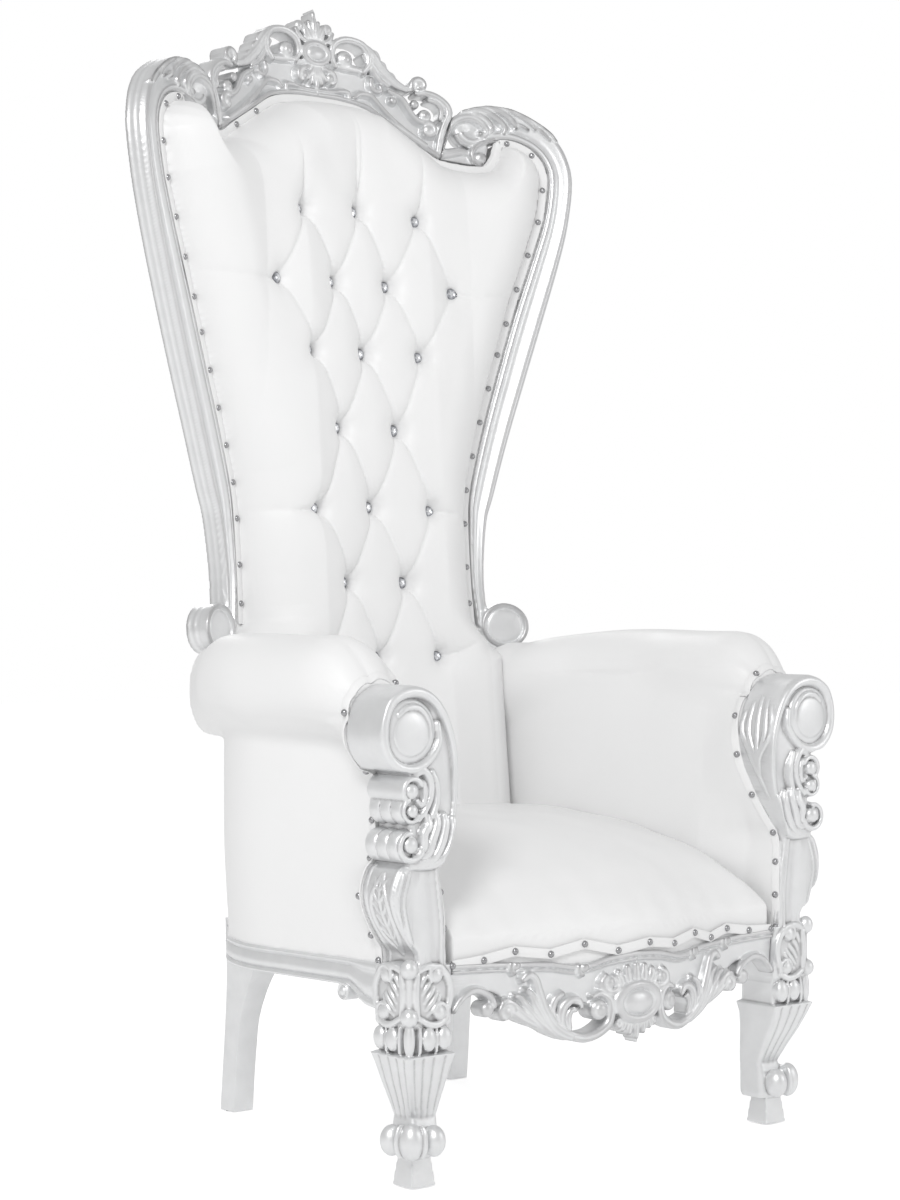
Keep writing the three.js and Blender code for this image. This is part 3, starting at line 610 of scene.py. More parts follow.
def crest_rail():
    wood = Carving((0, 1560), (262, 1806), 1.25)
    lower, upper = smooth_path(CREST_LOWER), smooth_path(CREST_UPPER)
    outline = lower.tolist() + upper.tolist()[::-1]
    edge = np.interp(wood.x, lower[:, 0], lower[:, 1])
    wood.board(outline, lambda x, z, d: -6 + 7 * np.exp(-((z - edge) / 9) ** 2) + 0 * d)
    # the rolled edge under the panel, in two C curves
    wood.stroke([[0, 1661, 4, 5], [40, 1661, 4, 5], [76, 1656, 4, 5], [104, 1649, 4, 5], [132, 1632, 4, 5],
                 [162, 1614, 4, 5], [196, 1595, 4, 5], [232, 1574, 4, 5]])
    wood.stroke([[0, 1668, 3.2, 5], [30, 1669, 3.4, 5], [52, 1672, 4.2, 6], [64, 1671, 4.6, 6],
                 [66, 1663, 4, 5]])
    wood.stroke([[76, 1664, 4, 5], [88, 1672, 4.5, 6], [108, 1671, 4.6, 6], [122, 1658, 4.4, 6],
                 [140, 1640, 4.4, 6], [170, 1617, 4.2, 5], [206, 1594, 4, 5]])
    # cabochon in its ring
    wood.dome(0, 1730, 31, 22, 3, 2, through=True)
    wood.ring(0, 1730, 26, 17.5, 4.6, 9)
    wood.dome(0, 1730, 20, 13, 13, 10)
    # palmette over it
    wood.strokes(*fan(0, 1744, [(0, 1798), (10, 1783), (20, 1778)], 6, 4.2, 6), through=True)
    wood.stroke([[0, 1752, 4, 5], [0, 1775, 6.5, 9], [0, 1797, 2.5, 5]], through=True, groove=1.5)
    wood.stroke([[8, 1746, 5, 4], [17, 1762, 6, 6], [20, 1778, 4, 4]], through=True)
    wood.eye(29, 1775, 10, 6, through=True)
    wood.stroke([[14, 1748, 4, 5], [30, 1756, 5, 6], [38, 1768, 4.5, 5]], through=True)
    # palmette under it
    wood.strokes(*fan(0, 1712, [(0, 1674), (10, 1679), (19, 1686)], 6, 4, 8), groove=1.0)
    wood.stroke([[10, 1708, 4, 6], [24, 1704, 5, 8], [36, 1698, 4.5, 8], [38, 1687, 4, 7],
                 [30, 1682, 3.5, 6]])
    wood.eye(28, 1691, 8.5, 9)
    # large pierced C scroll
    wood.stroke([[42, 1714, 5, 5], [34, 1730, 6, 7], [40, 1750, 7, 9], [58, 1760, 7, 9], [78, 1761, 7, 9],
                 [97, 1755, 7.5, 9], [108, 1740, 7.5, 9], [107, 1722, 6.5, 8], [95, 1709, 5, 7]],
                through=True, groove=1.8)
    wood.dome(61, 1728, 15.5, 15.5, 9, 10, through=True)
    wood.dome(61, 1728, 9, 9, 11.5, 7)
    wood.stroke([[44, 1716, 6, 4], [66, 1715, 8, 5], [90, 1713, 7, 4]], through=True)
    # leaves that run down from it
    for rows in (
        [[96, 1758, 5, 7], [114, 1744, 6.5, 9], [128, 1726, 7, 8], [147, 1707, 6, 7], [168, 1692, 5, 6],
         [184, 1689, 5.5, 6]],
        [[100, 1748, 5, 6], [116, 1728, 6, 8], [134, 1708, 6, 7], [154, 1693, 5, 6], [176, 1686, 4.5, 6]],
        [[98, 1738, 4.5, 5], [112, 1718, 5.5, 7], [124, 1702, 5, 6], [142, 1690, 4, 5]],
        [[110, 1750, 3.5, 5], [122, 1745, 4, 6], [128, 1736, 3, 5]],
        [[124, 1733, 3.5, 5], [135, 1727, 4, 6], [140, 1719, 3, 4]],
        [[140, 1715, 3.5, 5], [151, 1710, 4, 5], [156, 1703, 3, 4]],
    ):
        wood.stroke(rows, through=True, groove=0.8)
    wood.stroke([[112, 1700, 4, 5], [110, 1688, 4.5, 6], [118, 1679, 4.5, 6], [128, 1682, 4, 6],
                 [127, 1690, 3, 5]])
    wood.dome(199, 1697, 13, 13, 7, 9, through=True)
    wood.stroke(spiral(199, 1696, (15, 6), (200, -100), (4.5, 3), (8, 8)), through=True)
    # scrolls at the foot of the panel
    wood.stroke([[143, 1682, 4, 5], [154, 1677, 5, 7], [166, 1670, 5.5, 8], [176, 1656, 5.5, 8],
                 [184, 1643, 5.5, 8], [196, 1634, 5.5, 8], [208, 1632, 5, 8]], through=True, groove=1.2)
    wood.eye(150, 1666, 7, 7)
    wood.eye(189, 1663, 8, 7, through=True)
    wood.dome(206, 1644, 11.5, 11.5, 9, 9, through=True)
    wood.dome(206, 1644, 6, 6, 10.5, 4)
    wood.dome(211, 1620, 10.5, 10.5, 9, 8, through=True)
    wood.stroke(spiral(211, 1620, (14, 8), (120, -160), (4.5, 3.5), (8, 7)), through=True)
    for rows in (
        [[194, 1682, 5, 6], [212, 1683, 6, 8], [230, 1677, 7, 8], [245, 1664, 7, 8], [248, 1648, 7, 8],
         [240, 1630, 6.5, 7], [232, 1606, 6.5, 6], [228, 1584, 6, 4]],
        [[214, 1672, 4, 6], [228, 1667, 4.5, 7], [236, 1655, 4.5, 7], [233, 1640, 4, 6]],
    ):
        wood.stroke(rows, through=True, groove=1.4)
    whole = wood.mirrored()
    points, faces = whole.cut(CREST_BACK, on_back, joint=joint_side(whole, -1))
    settle(carved_object("crest_carving", points, faces, KEEP["crest"]), "silver_paint", "crest_rail")


# Back stiles with their shoulders and lower scrolls

STILE_INNER = [
    [250, 772], [243, 850], [245, 950], [251, 1005], [275, 1100], [305, 1200], [336, 1300], [370, 1400],
    [393, 1473], [403, 1540], [397, 1572], [380, 1595], [355, 1609], [328, 1613], [304, 1606], [287, 1593],
]
STILE_OUTER = [
    [270, 777], [267, 855], [277, 945], [291, 992], [319, 1088], [350, 1187], [381, 1287], [411, 1388],
    [430, 1465], [440, 1542], [432, 1590], [414, 1623], [388, 1645], [358, 1661], [322, 1667], [288, 1662],
]
STILE_PROFILE = [
    (0, -3), (0.05, 1.4), (0.09, 3.0), (0.12, 2.4), (0.15, 1.0), (0.19, 3.2), (0.23, 3.4), (0.28, 0),
    (0.36, -3.4), (0.46, -4.4), (0.56, -3.4), (0.66, -1.0), (0.76, 1.0), (0.84, 1.4), (0.92, 0), (0.98, -6),
    (1, -10),
]


def stile_flutes(outs):
    """Long flutes along the outer side of the stile."""
    return 0.8 * np.exp(-((outs + 15) / 2.6) ** 2) + 0.8 * np.exp(-((outs + 26) / 2.6) ** 2)


def back_stiles():
    wood = Carving((228, 724), (444, 1672), 1.45)
    wood.moulding(STILE_INNER, STILE_OUTER, STILE_PROFILE)
    # corner behind the eye of the shoulder
    ground = [[228, 1572], [278, 1565], [299, 1566], [309, 1580], [313, 1598], [300, 1606], [286, 1592],
              [228, 1592]]
    wood.board(ground, lambda x, z, d: -4 + 0 * x)
    wood.stroke([[232, 1580, 9, 2], [252, 1584, 9, 3], [268, 1587, 7, 3], [281, 1584, 5, 2]], through=True)
    wood.stroke([[322, 1611, 3.2, 4], [304, 1606, 3.6, 5], [290, 1596, 4, 6], [284, 1583, 4.4, 7],
                 [288, 1571, 4.4, 7], [298, 1567, 4, 7]], through=True)
    wood.dome(298, 1577, 10, 10, 8, 8, through=True)
    # C scroll over the corner, ending in a hook
    wood.stroke([[232, 1588, 6, 5], [238, 1608, 7, 7], [248, 1628, 8, 9], [264, 1642, 8.5, 9.5],
                 [284, 1646, 8, 9.5], [301, 1638, 7, 9], [310, 1624, 5.5, 8], [306, 1614, 4, 7]],
                 through=True, groove=1.8)
    wood.dome(301, 1618, 6, 6, 8, 5, through=True)
    # leaf over the shoulder
    for rows in (
        [[262, 1652, 5, 6], [284, 1660, 6, 9], [306, 1659, 6, 9], [326, 1648, 5.5, 8], [340, 1632, 4.5, 7],
         [338, 1621, 3, 6]],
        [[272, 1647, 4, 6], [292, 1652, 5, 9], [308, 1646, 5, 8], [318, 1633, 4, 7], [316, 1622, 3, 6]],
        [[290, 1664, 4, 5], [312, 1666, 5, 8], [334, 1659, 5.5, 8], [352, 1645, 5, 7], [358, 1633, 3.5, 6]],
        [[318, 1666, 4, 5], [344, 1664, 5, 7.5], [366, 1653, 5, 7], [382, 1640, 4, 6], [388, 1630, 2.5, 5]],
        [[340, 1663, 3.5, 4.5], [368, 1656, 5, 6.5], [392, 1642, 5, 6], [408, 1628, 4, 5],
         [418, 1612, 2, 4]],
        [[352, 1640, 3, 5], [366, 1636, 3.5, 6], [376, 1630, 2.5, 5]],
        [[384, 1638, 3, 4], [398, 1626, 3.5, 5], [410, 1612, 2, 4]],
    ):
        wood.stroke(rows, groove=0.9)
    # scroll drum at the foot, with a rounded rim and a raised disc
    wood.dome(295, 770, 38.6, 38.6, 1, 1, through=True)
    wood.ring(295, 770, 34.6, 34.6, 4.2, 6)
    wood.dome(295, 770, 28, 28, 4.5, 3.5)
    points, faces = wood.cut(FRAME_BACK, on_back, stile_flutes, joint_side(wood, 1))
    right = carved_object("stile_carving_right", points, faces, KEEP["stile"], soften=2)
    settle_both(right, "silver_paint", "back_stile")


# Front rail

RAIL_UPPER = [[0, 306], [50, 302], [100, 293], [150, 300], [200, 303], [255, 307], [322, 310]]
RAIL_LOWER = [[0, 215], [50, 220], [95, 238], [150, 234], [205, 245], [240, 262], [276, 272], [300, 262],
              [322, 246]]
# small curls on the top edge, which aren't the same on the two halves
RAIL_CURLS = (-207, -95, 136, 217)


def front_rail():
    wood = Carving((0, 172), (321, 322), 1.25)
    upper, lower = smooth_path(RAIL_UPPER), smooth_path(RAIL_LOWER)
    top = np.interp(wood.x, upper[:, 0], upper[:, 1])
    outline = lower.tolist() + upper.tolist()[::-1]
    wood.board(outline, lambda x, z, d: -5 + 5 * np.clip((z - top + 60) / 60, 0, 1) ** 2)
    # double bead under the upholstery
    for drop, width, rise in ((4, 4.0, 5), (12, 2.6, 2.5)):
        wood.stroke([[x, z - drop, width, rise] for x, z in RAIL_UPPER])
    # cabochon in its ring
    wood.dome(0, 232, 45, 31, 4, 3, through=True)
    wood.ring(0, 232, 38.5, 25, 6.2, 11)
    wood.dome(0, 232, 31.5, 18.5, 14, 11)
    # palmette over it
    for tx, tz in ((0, 284), (17, 282), (33, 276), (45, 268)):
        wood.stroke([[tx * 0.7, 254, 6, 4], [tx * 0.92, 267, 8, 7], [tx, tz, 5.5, 5]], groove=1.6)
    wood.stroke([[36, 256, 5, 6], [46, 250, 5, 8], [60, 253, 5.5, 9], [65, 264, 5, 8], [58, 274, 4, 7]])
    wood.dome(53, 263, 9.5, 9.5, 10, 8)
    # palmette under it
    for tx, tz in ((0, 181), (14, 188), (27, 194), (38, 204)):
        wood.stroke([[tx * 0.7, 212, 6, 3], [tx * 0.9, 200, 7, 6], [tx, tz, 4.5, 4]], through=True,
                    groove=1.4)
    # large scroll, from the eye down and round, up to the curled tip of the leaf
    wood.dome(70, 226, 15, 15, 10, 9, through=True)
    wood.dome(70, 226, 9, 9, 12, 5)
    wood.stroke([[80, 246, 4, 6], [66, 250, 5.5, 8], [52, 240, 6.5, 9], [49, 222, 7, 9], [55, 204, 7.5, 9],
                 [74, 192, 7.5, 9], [94, 188, 7.5, 9], [112, 191, 7, 8]], through=True, groove=1.8)
    for rows in (
        [[96, 190, 5, 6], [120, 195, 7, 8], [142, 209, 8, 9], [158, 232, 8, 9], [168, 258, 7, 9],
         [175, 277, 6.5, 9], [186, 284, 6, 9], [195, 278, 5, 8]],
        [[112, 188, 4, 5], [136, 197, 6, 7], [156, 214, 6.5, 8], [172, 238, 6.5, 8], [181, 256, 5, 7],
         [190, 262, 3.5, 6]],
        [[126, 190, 4, 4], [150, 203, 6, 7], [172, 221, 6.5, 8], [189, 241, 6, 7], [200, 254, 4.5, 6],
         [208, 256, 3, 5]],
        [[140, 198, 4, 4], [164, 211, 6, 6], [188, 226, 6.5, 7], [206, 240, 6, 7], [220, 250, 4.5, 6],
         [229, 250, 3, 5]],
        [[150, 205, 4, 3], [178, 215, 5, 5], [202, 227, 6, 6], [220, 240, 5, 6]],
    ):
        wood.stroke(rows, through=True, groove=1.0)
    # inner leaf that curls back towards the eye
    for rows in (
        [[126, 200, 6, 6], [133, 216, 7, 8], [130, 233, 7.5, 9], [118, 243, 7, 9], [105, 242, 6, 8],
         [100, 233, 4.5, 7]],
        [[118, 204, 5, 5], [121, 217, 5.5, 7], [117, 228, 5, 7], [109, 229, 4, 6]],
        [[140, 212, 5, 5], [147, 230, 6, 7], [142, 246, 5.5, 7], [130, 253, 4.5, 6]],
    ):
        wood.stroke(rows, through=True, groove=1.2)
    wood.dome(108, 234, 6, 6, 9, 5)
    # pair of balls, with the arch that runs to the post
    wood.dome(223, 233, 11.5, 11.5, 7, 9, through=True)
    wood.stroke(spiral(223, 234, (15, 10), (170, -60), (4.5, 3.5), (7, 6)), through=True)
    wood.dome(255, 241, 11.5, 11.5, 7, 9, through=True)
    wood.stroke([[243, 246, 4.5, 6], [250, 257, 5, 7], [264, 266, 5, 7], [280, 270, 5, 7], [297, 265, 5, 7],
                 [309, 255, 5, 6], [317, 245, 4.5, 5]], through=True, groove=0.8)
    whole = wood.mirrored()
    for x in RAIL_CURLS:
        top = float(np.interp(abs(x), upper[:, 0], upper[:, 1]))
        whole.dome(x, top - 5, 7, 7, 9, 6)
        whole.stroke(spiral(x, top - 5, (11, 9), (250, 100), (3, 2.2), (8, 6)))
    points, faces = whole.cut(RAIL_BACK, on_rail)
    apron = carved_object("front_rail_carving", points, faces, KEEP["rail"])
    settle(apron, "silver_paint", "seat_rail_front")


# Front posts. u runs out to the side of the post and v out to its front, from the middle of the leg.

POST_X, POST_Y = 360.0, -365.0
POST_STEP = 1.6
POST_LOW, POST_HIGH = -65.6, 112.0
POST_FRONT = 40.0
POST_BACK = -32.0
POST_TOP = 710.0
STUMP = [
    [386, 300], [381, 326], [396, 346], [416, 380], [424, 412], [414, 442], [400, 456], [397, 500],
    [397, 571], [428, 584], [447, 608], [452, 636], [441, 673], [420, 690], [396, 698], [358, 687],
    [331, 656], [316, 614], [312, 565], [318, 520], [332, 478], [344, 445], [338, 400], [335, 360],
    [335, 300],
]
LEG_SECTIONS = [
    # z, shift of the centre along the diagonal, half side, rounding
    (44, -13, 24, 9), (50, -13, 26, 10), (80, -14, 25, 10), (98, -16, 23, 8), (125, -10, 29, 8),
    (150, -4, 35, 9), (172, 0, 39.5, 8), (189, 1.5, 43, 3), (192, -1, 35, 5), (224, -1, 34.5, 5),
    (232, 0, 39, 6), (311, 0, 39, 6),
]
LEG_LOW, LEG_HIGH = 43, 311
STUMP_ROLLS = [
    # x, z, radius, ringed or plain
    (396, 553, 16, False), (398, 524, 16.5, True), (401, 480, 20, True),
]
POST_BALLS = [
    # balls and buds on the knee and the ankle: place and radii along u, v and z
    ((35, 35, 309), (12, 12, 14)), ((36, 36, 243), (12, 12, 13)), ((34, 34, 212), (8, 8, 25)),
    ((15, 15, 68), (18, 18, 26)), ((-18, 23, 67), (16, 18, 22)), ((23, -18, 67), (18, 16, 22)),
    ((4, 25, 68), (5, 12, 24)), ((25, 4, 68), (12, 5, 24)),
]
# foot: heights with the half side at each, how far it stands in, its underside and its top
FOOT_TAPER = ([5, 12, 42], [21, 20.5, 16.5])
FOOT_IN = 8
FOOT_LOW, FOOT_HIGH = 2.0, 48


def stump_outline():
    return smooth_path([row + [0] for row in STUMP + STUMP[:1]], 5)[:, :2]


def to_post(rows):
    """Strokes given by x and z on the post's front, moved to u and z."""
    return [[x - POST_X, z, w, rise] for x, z, w, rise in rows]


def post_sheet(low_z, high_z):
    return Carving((POST_LOW, low_z), (POST_HIGH, high_z), POST_STEP)


def stump_front():
    """Relief on the front of the arm stump."""
    wood = post_sheet(0, POST_TOP)
    wood.inside = wood.shape_distance([[x - POST_X, z] for x, z in stump_outline()])
    round_off = np.clip(1 - wood.inside / 6, 0, 1)
    wood.height = -5 * (1 - np.sqrt(1 - round_off ** 2))
    x, z = wood.x + POST_X, wood.z
    # a broad cove between the inner edge and the volute, and down the middle of the panel
    cove = np.exp(-((np.hypot(x - 420, z - 590) - 88) / 16) ** 2) * (z > 520)
    panel = np.exp(-((x - 360 - 0.10 * (z - 380)) / 9) ** 2) * np.clip((455 - z) / 30, 0, 1)
    wood.height -= 3.5 * cove + 2.0 * panel
    add = lambda rows, **how: wood.stroke(to_post(rows), **how)
    # inner edge bead that rises into the volute
    add([[345, 456, 3.5, 3], [327, 500, 4, 4], [318, 545, 4.4, 4], [320, 604, 5, 5], [336, 651, 6, 6],
         [362, 680, 7, 7], [396, 689, 8, 8], [428, 678, 8.5, 8], [443, 650, 8.5, 8], [442, 614, 8, 8],
         [424, 590, 7.5, 8], [396, 583, 7, 8], [368, 594, 6.5, 8], [349, 618, 5.5, 7], [350, 644, 4.5, 5]])
    wood.dome(397 - POST_X, 635, 43, 43, 5, 5)
    add([[362, 628, 2, 4], [368, 651, 3, 6], [384, 666, 4, 7], [404, 667, 4.4, 7], [420, 658, 3, 6]])
    wood.dome(398 - POST_X, 631, 30, 30, 7, 3)
    # second tier: two eyes with their scrolls, and a curled leaf
    for z_eye, radius in ((553, 11), (526, 10)):
        wood.dome(398 - POST_X, z_eye, radius, radius, 11, 8, through=True)
    add(spiral(397, 553, (18, 15), (150, -60), (4, 3.4), (9, 8)), through=True)
    add(spiral(398, 526, (16, 13.5), (70, -150), (3.6, 3.2), (8, 8)), through=True)
    for rows in (
        [[392, 574, 4, 6], [376, 580, 5.5, 9], [365, 566, 5.5, 9], [364, 546, 5, 8], [372, 528, 4.5, 7],
         [384, 514, 4, 6]],
        [[386, 566, 3.6, 6], [377, 563, 4, 8], [374, 548, 4, 8], [379, 534, 3.6, 7], [388, 540, 3, 7]],
        [[360, 578, 4, 6], [353, 560, 4.5, 8], [353, 538, 4.5, 8], [361, 518, 4, 7], [374, 506, 3.5, 6]],
    ):
        add(rows, groove=0.8)
    # third tier: a shell of four lobes round an eye
    wood.dome(401 - POST_X, 480, 13, 13, 12, 10, through=True)
    add(spiral(401, 480, (22, 16), (-150, 95), (5, 4), (10, 9)), through=True)
    for x_top, z_top, low in ((322, 512, 452), (337, 517, 458), (352, 519, 466), (367, 517, 474)):
        add([[396, low - 3, 4, 5], [(x_top + 388) / 2, low, 6, 9], [x_top + 10, low + 20, 7, 11],
             [x_top + 2, z_top - 12, 6.5, 11], [x_top + 3, z_top, 5, 8]], groove=1.2)
    # fine ridges down the panel under it
    for x_top in (392, 402):
        add([[x_top - 10, 312, 2, 1], [x_top + 4, 350, 2.4, 2], [x_top + 16, 400, 2.6, 2],
             [x_top + 6, 440, 2.2, 2]])
    add([[342, 312, 2.4, 2], [342, 360, 2.6, 2], [346, 400, 2.6, 2], [352, 444, 2.2, 2]])
    wood.height += POST_FRONT
    return wood


def stump_sides():
    """How far relief stands out of the inner and the outer side, over v and z."""
    inner, outer = post_sheet(0, POST_TOP), post_sheet(0, POST_TOP)
    for sheet in (inner, outer):
        sheet.height[:] = 0
    # inner side: leaf that fans up behind the volute, and a small scroll below
    for v_top, z_top, lean in ((-24, 640, -6), (-12, 656, -4), (2, 664, 0), (15, 660, 3), (27, 650, 4)):
        inner.stroke([[18, 530, 3, 1], [12 + lean, 570, 4, 2.6], [v_top + 6 + lean, 610, 4.6, 3],
                      [v_top, z_top, 3.4, 2]], groove=0.6)
    inner.stroke([[30, 505, 3, 1], [16, 540, 4, 2.6], [-6, 580, 4.6, 3], [-22, 606, 4, 3],
                  [-26, 622, 3, 2]])
    inner.stroke([[22, 330, 2.6, 1.5], [10, 352, 3, 2.6], [16, 378, 3.2, 2.8], [26, 398, 3, 2.6],
                  [22, 422, 2.6, 2.4], [14, 412, 2.4, 2]])
    inner.stroke([[30, 312, 2.6, 2], [32, 380, 2.8, 2.4], [30, 440, 2.6, 2]])
    # outer side: raised edges round an oval veined leaf
    for v in (-24, 32):
        outer.stroke([[v, 316, 3.4, 2], [v, 380, 3.8, 2.6], [v, 448, 3.4, 2]], groove=0.6)
    outer.stroke([[4, 326, 3, 2], [-13, 356, 3.6, 3], [-14, 398, 3.6, 3], [4, 440, 3, 2.4]])
    outer.stroke([[4, 326, 3, 2], [20, 356, 3.6, 3], [22, 398, 3.6, 3], [6, 440, 3, 2.4]])
    outer.stroke([[4, 330, 2.4, 2], [6, 380, 3, 3], [5, 432, 2.2, 2]])
    for z in (346, 364, 382, 400, 416):
        outer.stroke([[4, z, 2, 2], [-3, z + 7, 2.2, 2.4], [-9, z + 16, 1.6, 1.6]])
        outer.stroke([[5, z, 2, 2], [12, z + 7, 2.2, 2.4], [17, z + 16, 1.6, 1.6]])
    return inner.height.clip(0), outer.height.clip(0)


def knee_relief():
    """One face of the knee block and leg: C scrolls round a feather, ball ends and fan flutes."""
    wood = post_sheet(0, 340)
    add = lambda rows, **how: wood.stroke(to_post(rows), through=True, **how)
    # frame in the shape of a C, open to the corner
    add([[384, 305, 4, 4], [368, 311, 5.5, 6.5], [350, 309, 6, 7], [335, 299, 6, 7], [327, 282, 5.5, 6.5],
         [328, 263, 5.5, 6.5], [334, 248, 5, 6.5], [345, 240, 4.5, 6]], groove=1.0)
    wood.dome(352 - POST_X, 298, 10.5, 10.5, 9, 7, through=True)
    add(spiral(352, 298, (15, 11), (150, -40), (3, 2.6), (7.5, 6.5)))
    wood.dome(347 - POST_X, 247, 10.5, 10.5, 9, 7, through=True)
    add(spiral(347, 247, (15, 11), (200, 20), (3, 2.6), (7, 6)))
    # smooth ridge along the corner, and a leaf of slanting strokes beside it
    add([[384, 300, 5, 5], [387, 272, 6, 6], [384, 246, 5, 5]])
    for k, (x_foot, z_foot) in enumerate(((366, 244), (368, 252), (371, 262), (374, 274), (377, 286))):
        reach = 22 - 3 * k
        add([[x_foot, z_foot, 2.6, 3], [x_foot - reach * 0.55, z_foot + 10, 3.8, 4.6],
             [x_foot - reach, z_foot + 24 - 3 * k, 2.6, 3.4]], groove=0.4)
    # lower row of curls, and the balls over the fan with strands between them
    add([[334, 238, 4, 5], [348, 231, 5, 8], [364, 232, 5, 8], [380, 240, 4.5, 7]], groove=0.8)
    wood.dome(337 - POST_X, 211, 12.5, 17, 10, 10, through=True)
    wood.dome(364 - POST_X, 211, 12.5, 17, 9, 9, through=True)
    for x in (350, 379):
        add([[x, 228, 2.4, 3], [x + 1, 212, 2.8, 5], [x + 1, 194, 2.4, 4]])
    return wood


def leg_field(u, v, z):
    """The leg under the arm, from section to section."""
    table = np.array(LEG_SECTIONS, float)
    shift, half, rounding = (np.interp(z, table[:, 0], table[:, k]) for k in (1, 2, 3))
    a, b = u - shift, v - shift
    inner_a, inner_b = np.abs(a) - (half - rounding), np.abs(b) - (half - rounding)
    distance = np.hypot(inner_a.clip(0), inner_b.clip(0)) + np.minimum(np.maximum(inner_a, inner_b), 0)
    distance = distance - rounding
    # fan flutes on the two outer faces, narrow at the corner and wide at the sides
    fan = np.clip((z - 92) / 20, 0, 1) * np.clip((190 - z) / 5, 0, 1)
    reach = np.where(a > b, b, a) / half
    ridge = np.abs(np.sin((1 - reach.clip(-1, 1)) ** 0.8 * 2.75 * np.pi))
    outer = np.clip((np.maximum(a, b) / half - 0.6) * 4, 0, 1)
    distance = distance + 2.6 * (1 - ridge) ** 1.5 * fan * outer
    return np.minimum(-distance, np.minimum(z - LEG_LOW, LEG_HIGH - z))


def ball_field(u, v, z, at, radii):
    share = np.sqrt(sum(((c - a) / r) ** 2 for c, a, r in zip((u, v, z), at, radii)))
    return (1 - share) * min(radii)


def front_posts():
    front = stump_front()
    inner, outer = stump_sides()
    knee = knee_relief()
    spots = front.x[:, 0]
    u, v, z = spots[:, None, None], spots[None, :, None], front.z[0][None, None, :]
    middle = 20
    side_relief = np.where(u < middle, inner[None], outer[None])
    wave = np.abs(np.sin((v - POST_BACK) / (POST_FRONT - POST_BACK) * np.pi * 3)) ** 0.7
    ringed = np.exp(-((z - 525) / 13) ** 4) + np.exp(-((z - 480) / 19) ** 4)
    wall = front.inside[:, None, :] + side_relief - 4.5 * (1 - wave) * ringed * (u > middle)
    field = np.minimum(np.minimum(wall, front.height[:, None, :] - v), v - POST_BACK)
    # rolls that lie along the depth, plain or ringed
    for x, z_roll, radius, ringed_roll in STUMP_ROLLS:
        roll = radius + (4.2 * wave - 3.2 if ringed_roll else 0) - np.hypot(u - (x - POST_X), z - z_roll)
        field = np.maximum(field, np.minimum(np.minimum(roll, POST_FRONT - 1 - v), v - POST_BACK - 5))
    low = z.shape[2]
    field = np.maximum(field, leg_field(u, v, z))
    sheet = np.full((knee.x.shape[0], 1, low), -60.0)
    inside = np.full((knee.x.shape[0], 1, low), -20.0)
    rows = knee.x.shape[1]
    sheet[:, 0, :rows] = knee.height
    inside[:, 0, :rows] = knee.inside
    taper = np.interp(z, [192, 233], [38.5, 38.0])
    face = np.minimum(np.minimum(inside, sheet + taper - v), v - 20)
    field = np.maximum(field, face)
    field = np.maximum(field, face.transpose(1, 0, 2))
    for at, radii in POST_BALLS:
        field = np.maximum(field, ball_field(u, v, z, at, radii))
    foot = np.interp(z, *FOOT_TAPER) - np.maximum(np.abs(u + FOOT_IN), np.abs(v + FOOT_IN))
    field = np.maximum(field, np.minimum(np.minimum(foot, z - FOOT_LOW), FOOT_HIGH - z))
    field[[0, -1]] = -1
    field[:, [0, -1]] = -1
    points, faces = surface_net(field, (POST_LOW, POST_LOW, 0), POST_STEP)
    place = np.stack([points[:, 0] + POST_X, POST_Y - points[:, 1] + SHIFT_Y, points[:, 2]], 1) * MM
    right = carved_object("post_carving_right", place, faces[:, ::-1], KEEP["post"])
    settle_both(right, "silver_paint", "front_post")


# Upholstery

CUSHION_EDGE = [
    [0, 1659], [50, 1657], [100, 1647], [150, 1618], [200, 1588], [225, 1572], [252, 1566], [284, 1563],
    [304, 1566], [315, 1582], [321, 1604], [331, 1612], [356, 1609], [381, 1595], [398, 1572], [404, 1545],
    [402, 1524], [394, 1473], [372, 1403], [338, 1303], [307, 1203], [277, 1103], [253, 1008], [246, 950],
    [245, 850], [247, 776], [260, 740], [282, 722], [284, 400], [0, 400],
]
CUSHION_FOOT, CUSHION_BACK = 452.0, -9.0
CUSHION_STEP = 3.0
BAND_WIDTH = 15.0
PILLOW_OUT, BUTTON_DIP, CREASE_DIP = 114.0, 38.0, 9.0
TUFTS = [
    (1452, (0,)), (1446, (122,)), (1332, (57,)), (1328, (181,)), (1217, (0, 114)), (1093, (60,)),
    (965, (0,)), (961, (119,)), (842, (61,)), (721, (0, 120)),
]
# the face is bowed and raked, so a place on it moves in and up as it comes out to the buttons
TUFT_SPREAD, TUFT_DROP = 1.127, 6.5
FREE_CREASES = [
    # on the face, from a button out to the edge: rows of places, and the depth at the far end
    ([[0, 1445], [4, 1500], [6, 1560], [0, 1642]], 3),
    ([[137, 1439], [146, 1500], [147, 1560], [134, 1622]], 3),
    ([[204, 1321], [262, 1318], [340, 1330]], 20), ([[134, 954], [190, 950], [250, 960]], 16),
    ([[128, 1209], [160, 1198], [184, 1172]], 0), ([[135, 714], [180, 722], [246, 752]], 8),
]


def tuft_places():
    return [(x * TUFT_SPREAD, z - TUFT_DROP) for z, xs in TUFTS for x in xs]


def crease_lines():
    """Straight creases between neighbouring buttons, on the right half and across the middle."""
    tufts = tuft_places()
    both = tufts + [(-x, z) for x, z in tufts if x]
    lines = []
    for x, z in both:
        for x2, z2 in both:
            if 45 < abs(x - x2) < 85 and 100 < z - z2 < 140 and max(x, x2) >= 0:
                lines.append((np.array([[x, z], [x2, z2]], float), BUTTON_DIP))
    for rows, end in FREE_CREASES:
        lines.append((smooth_path(rows, 5), end))
    return lines


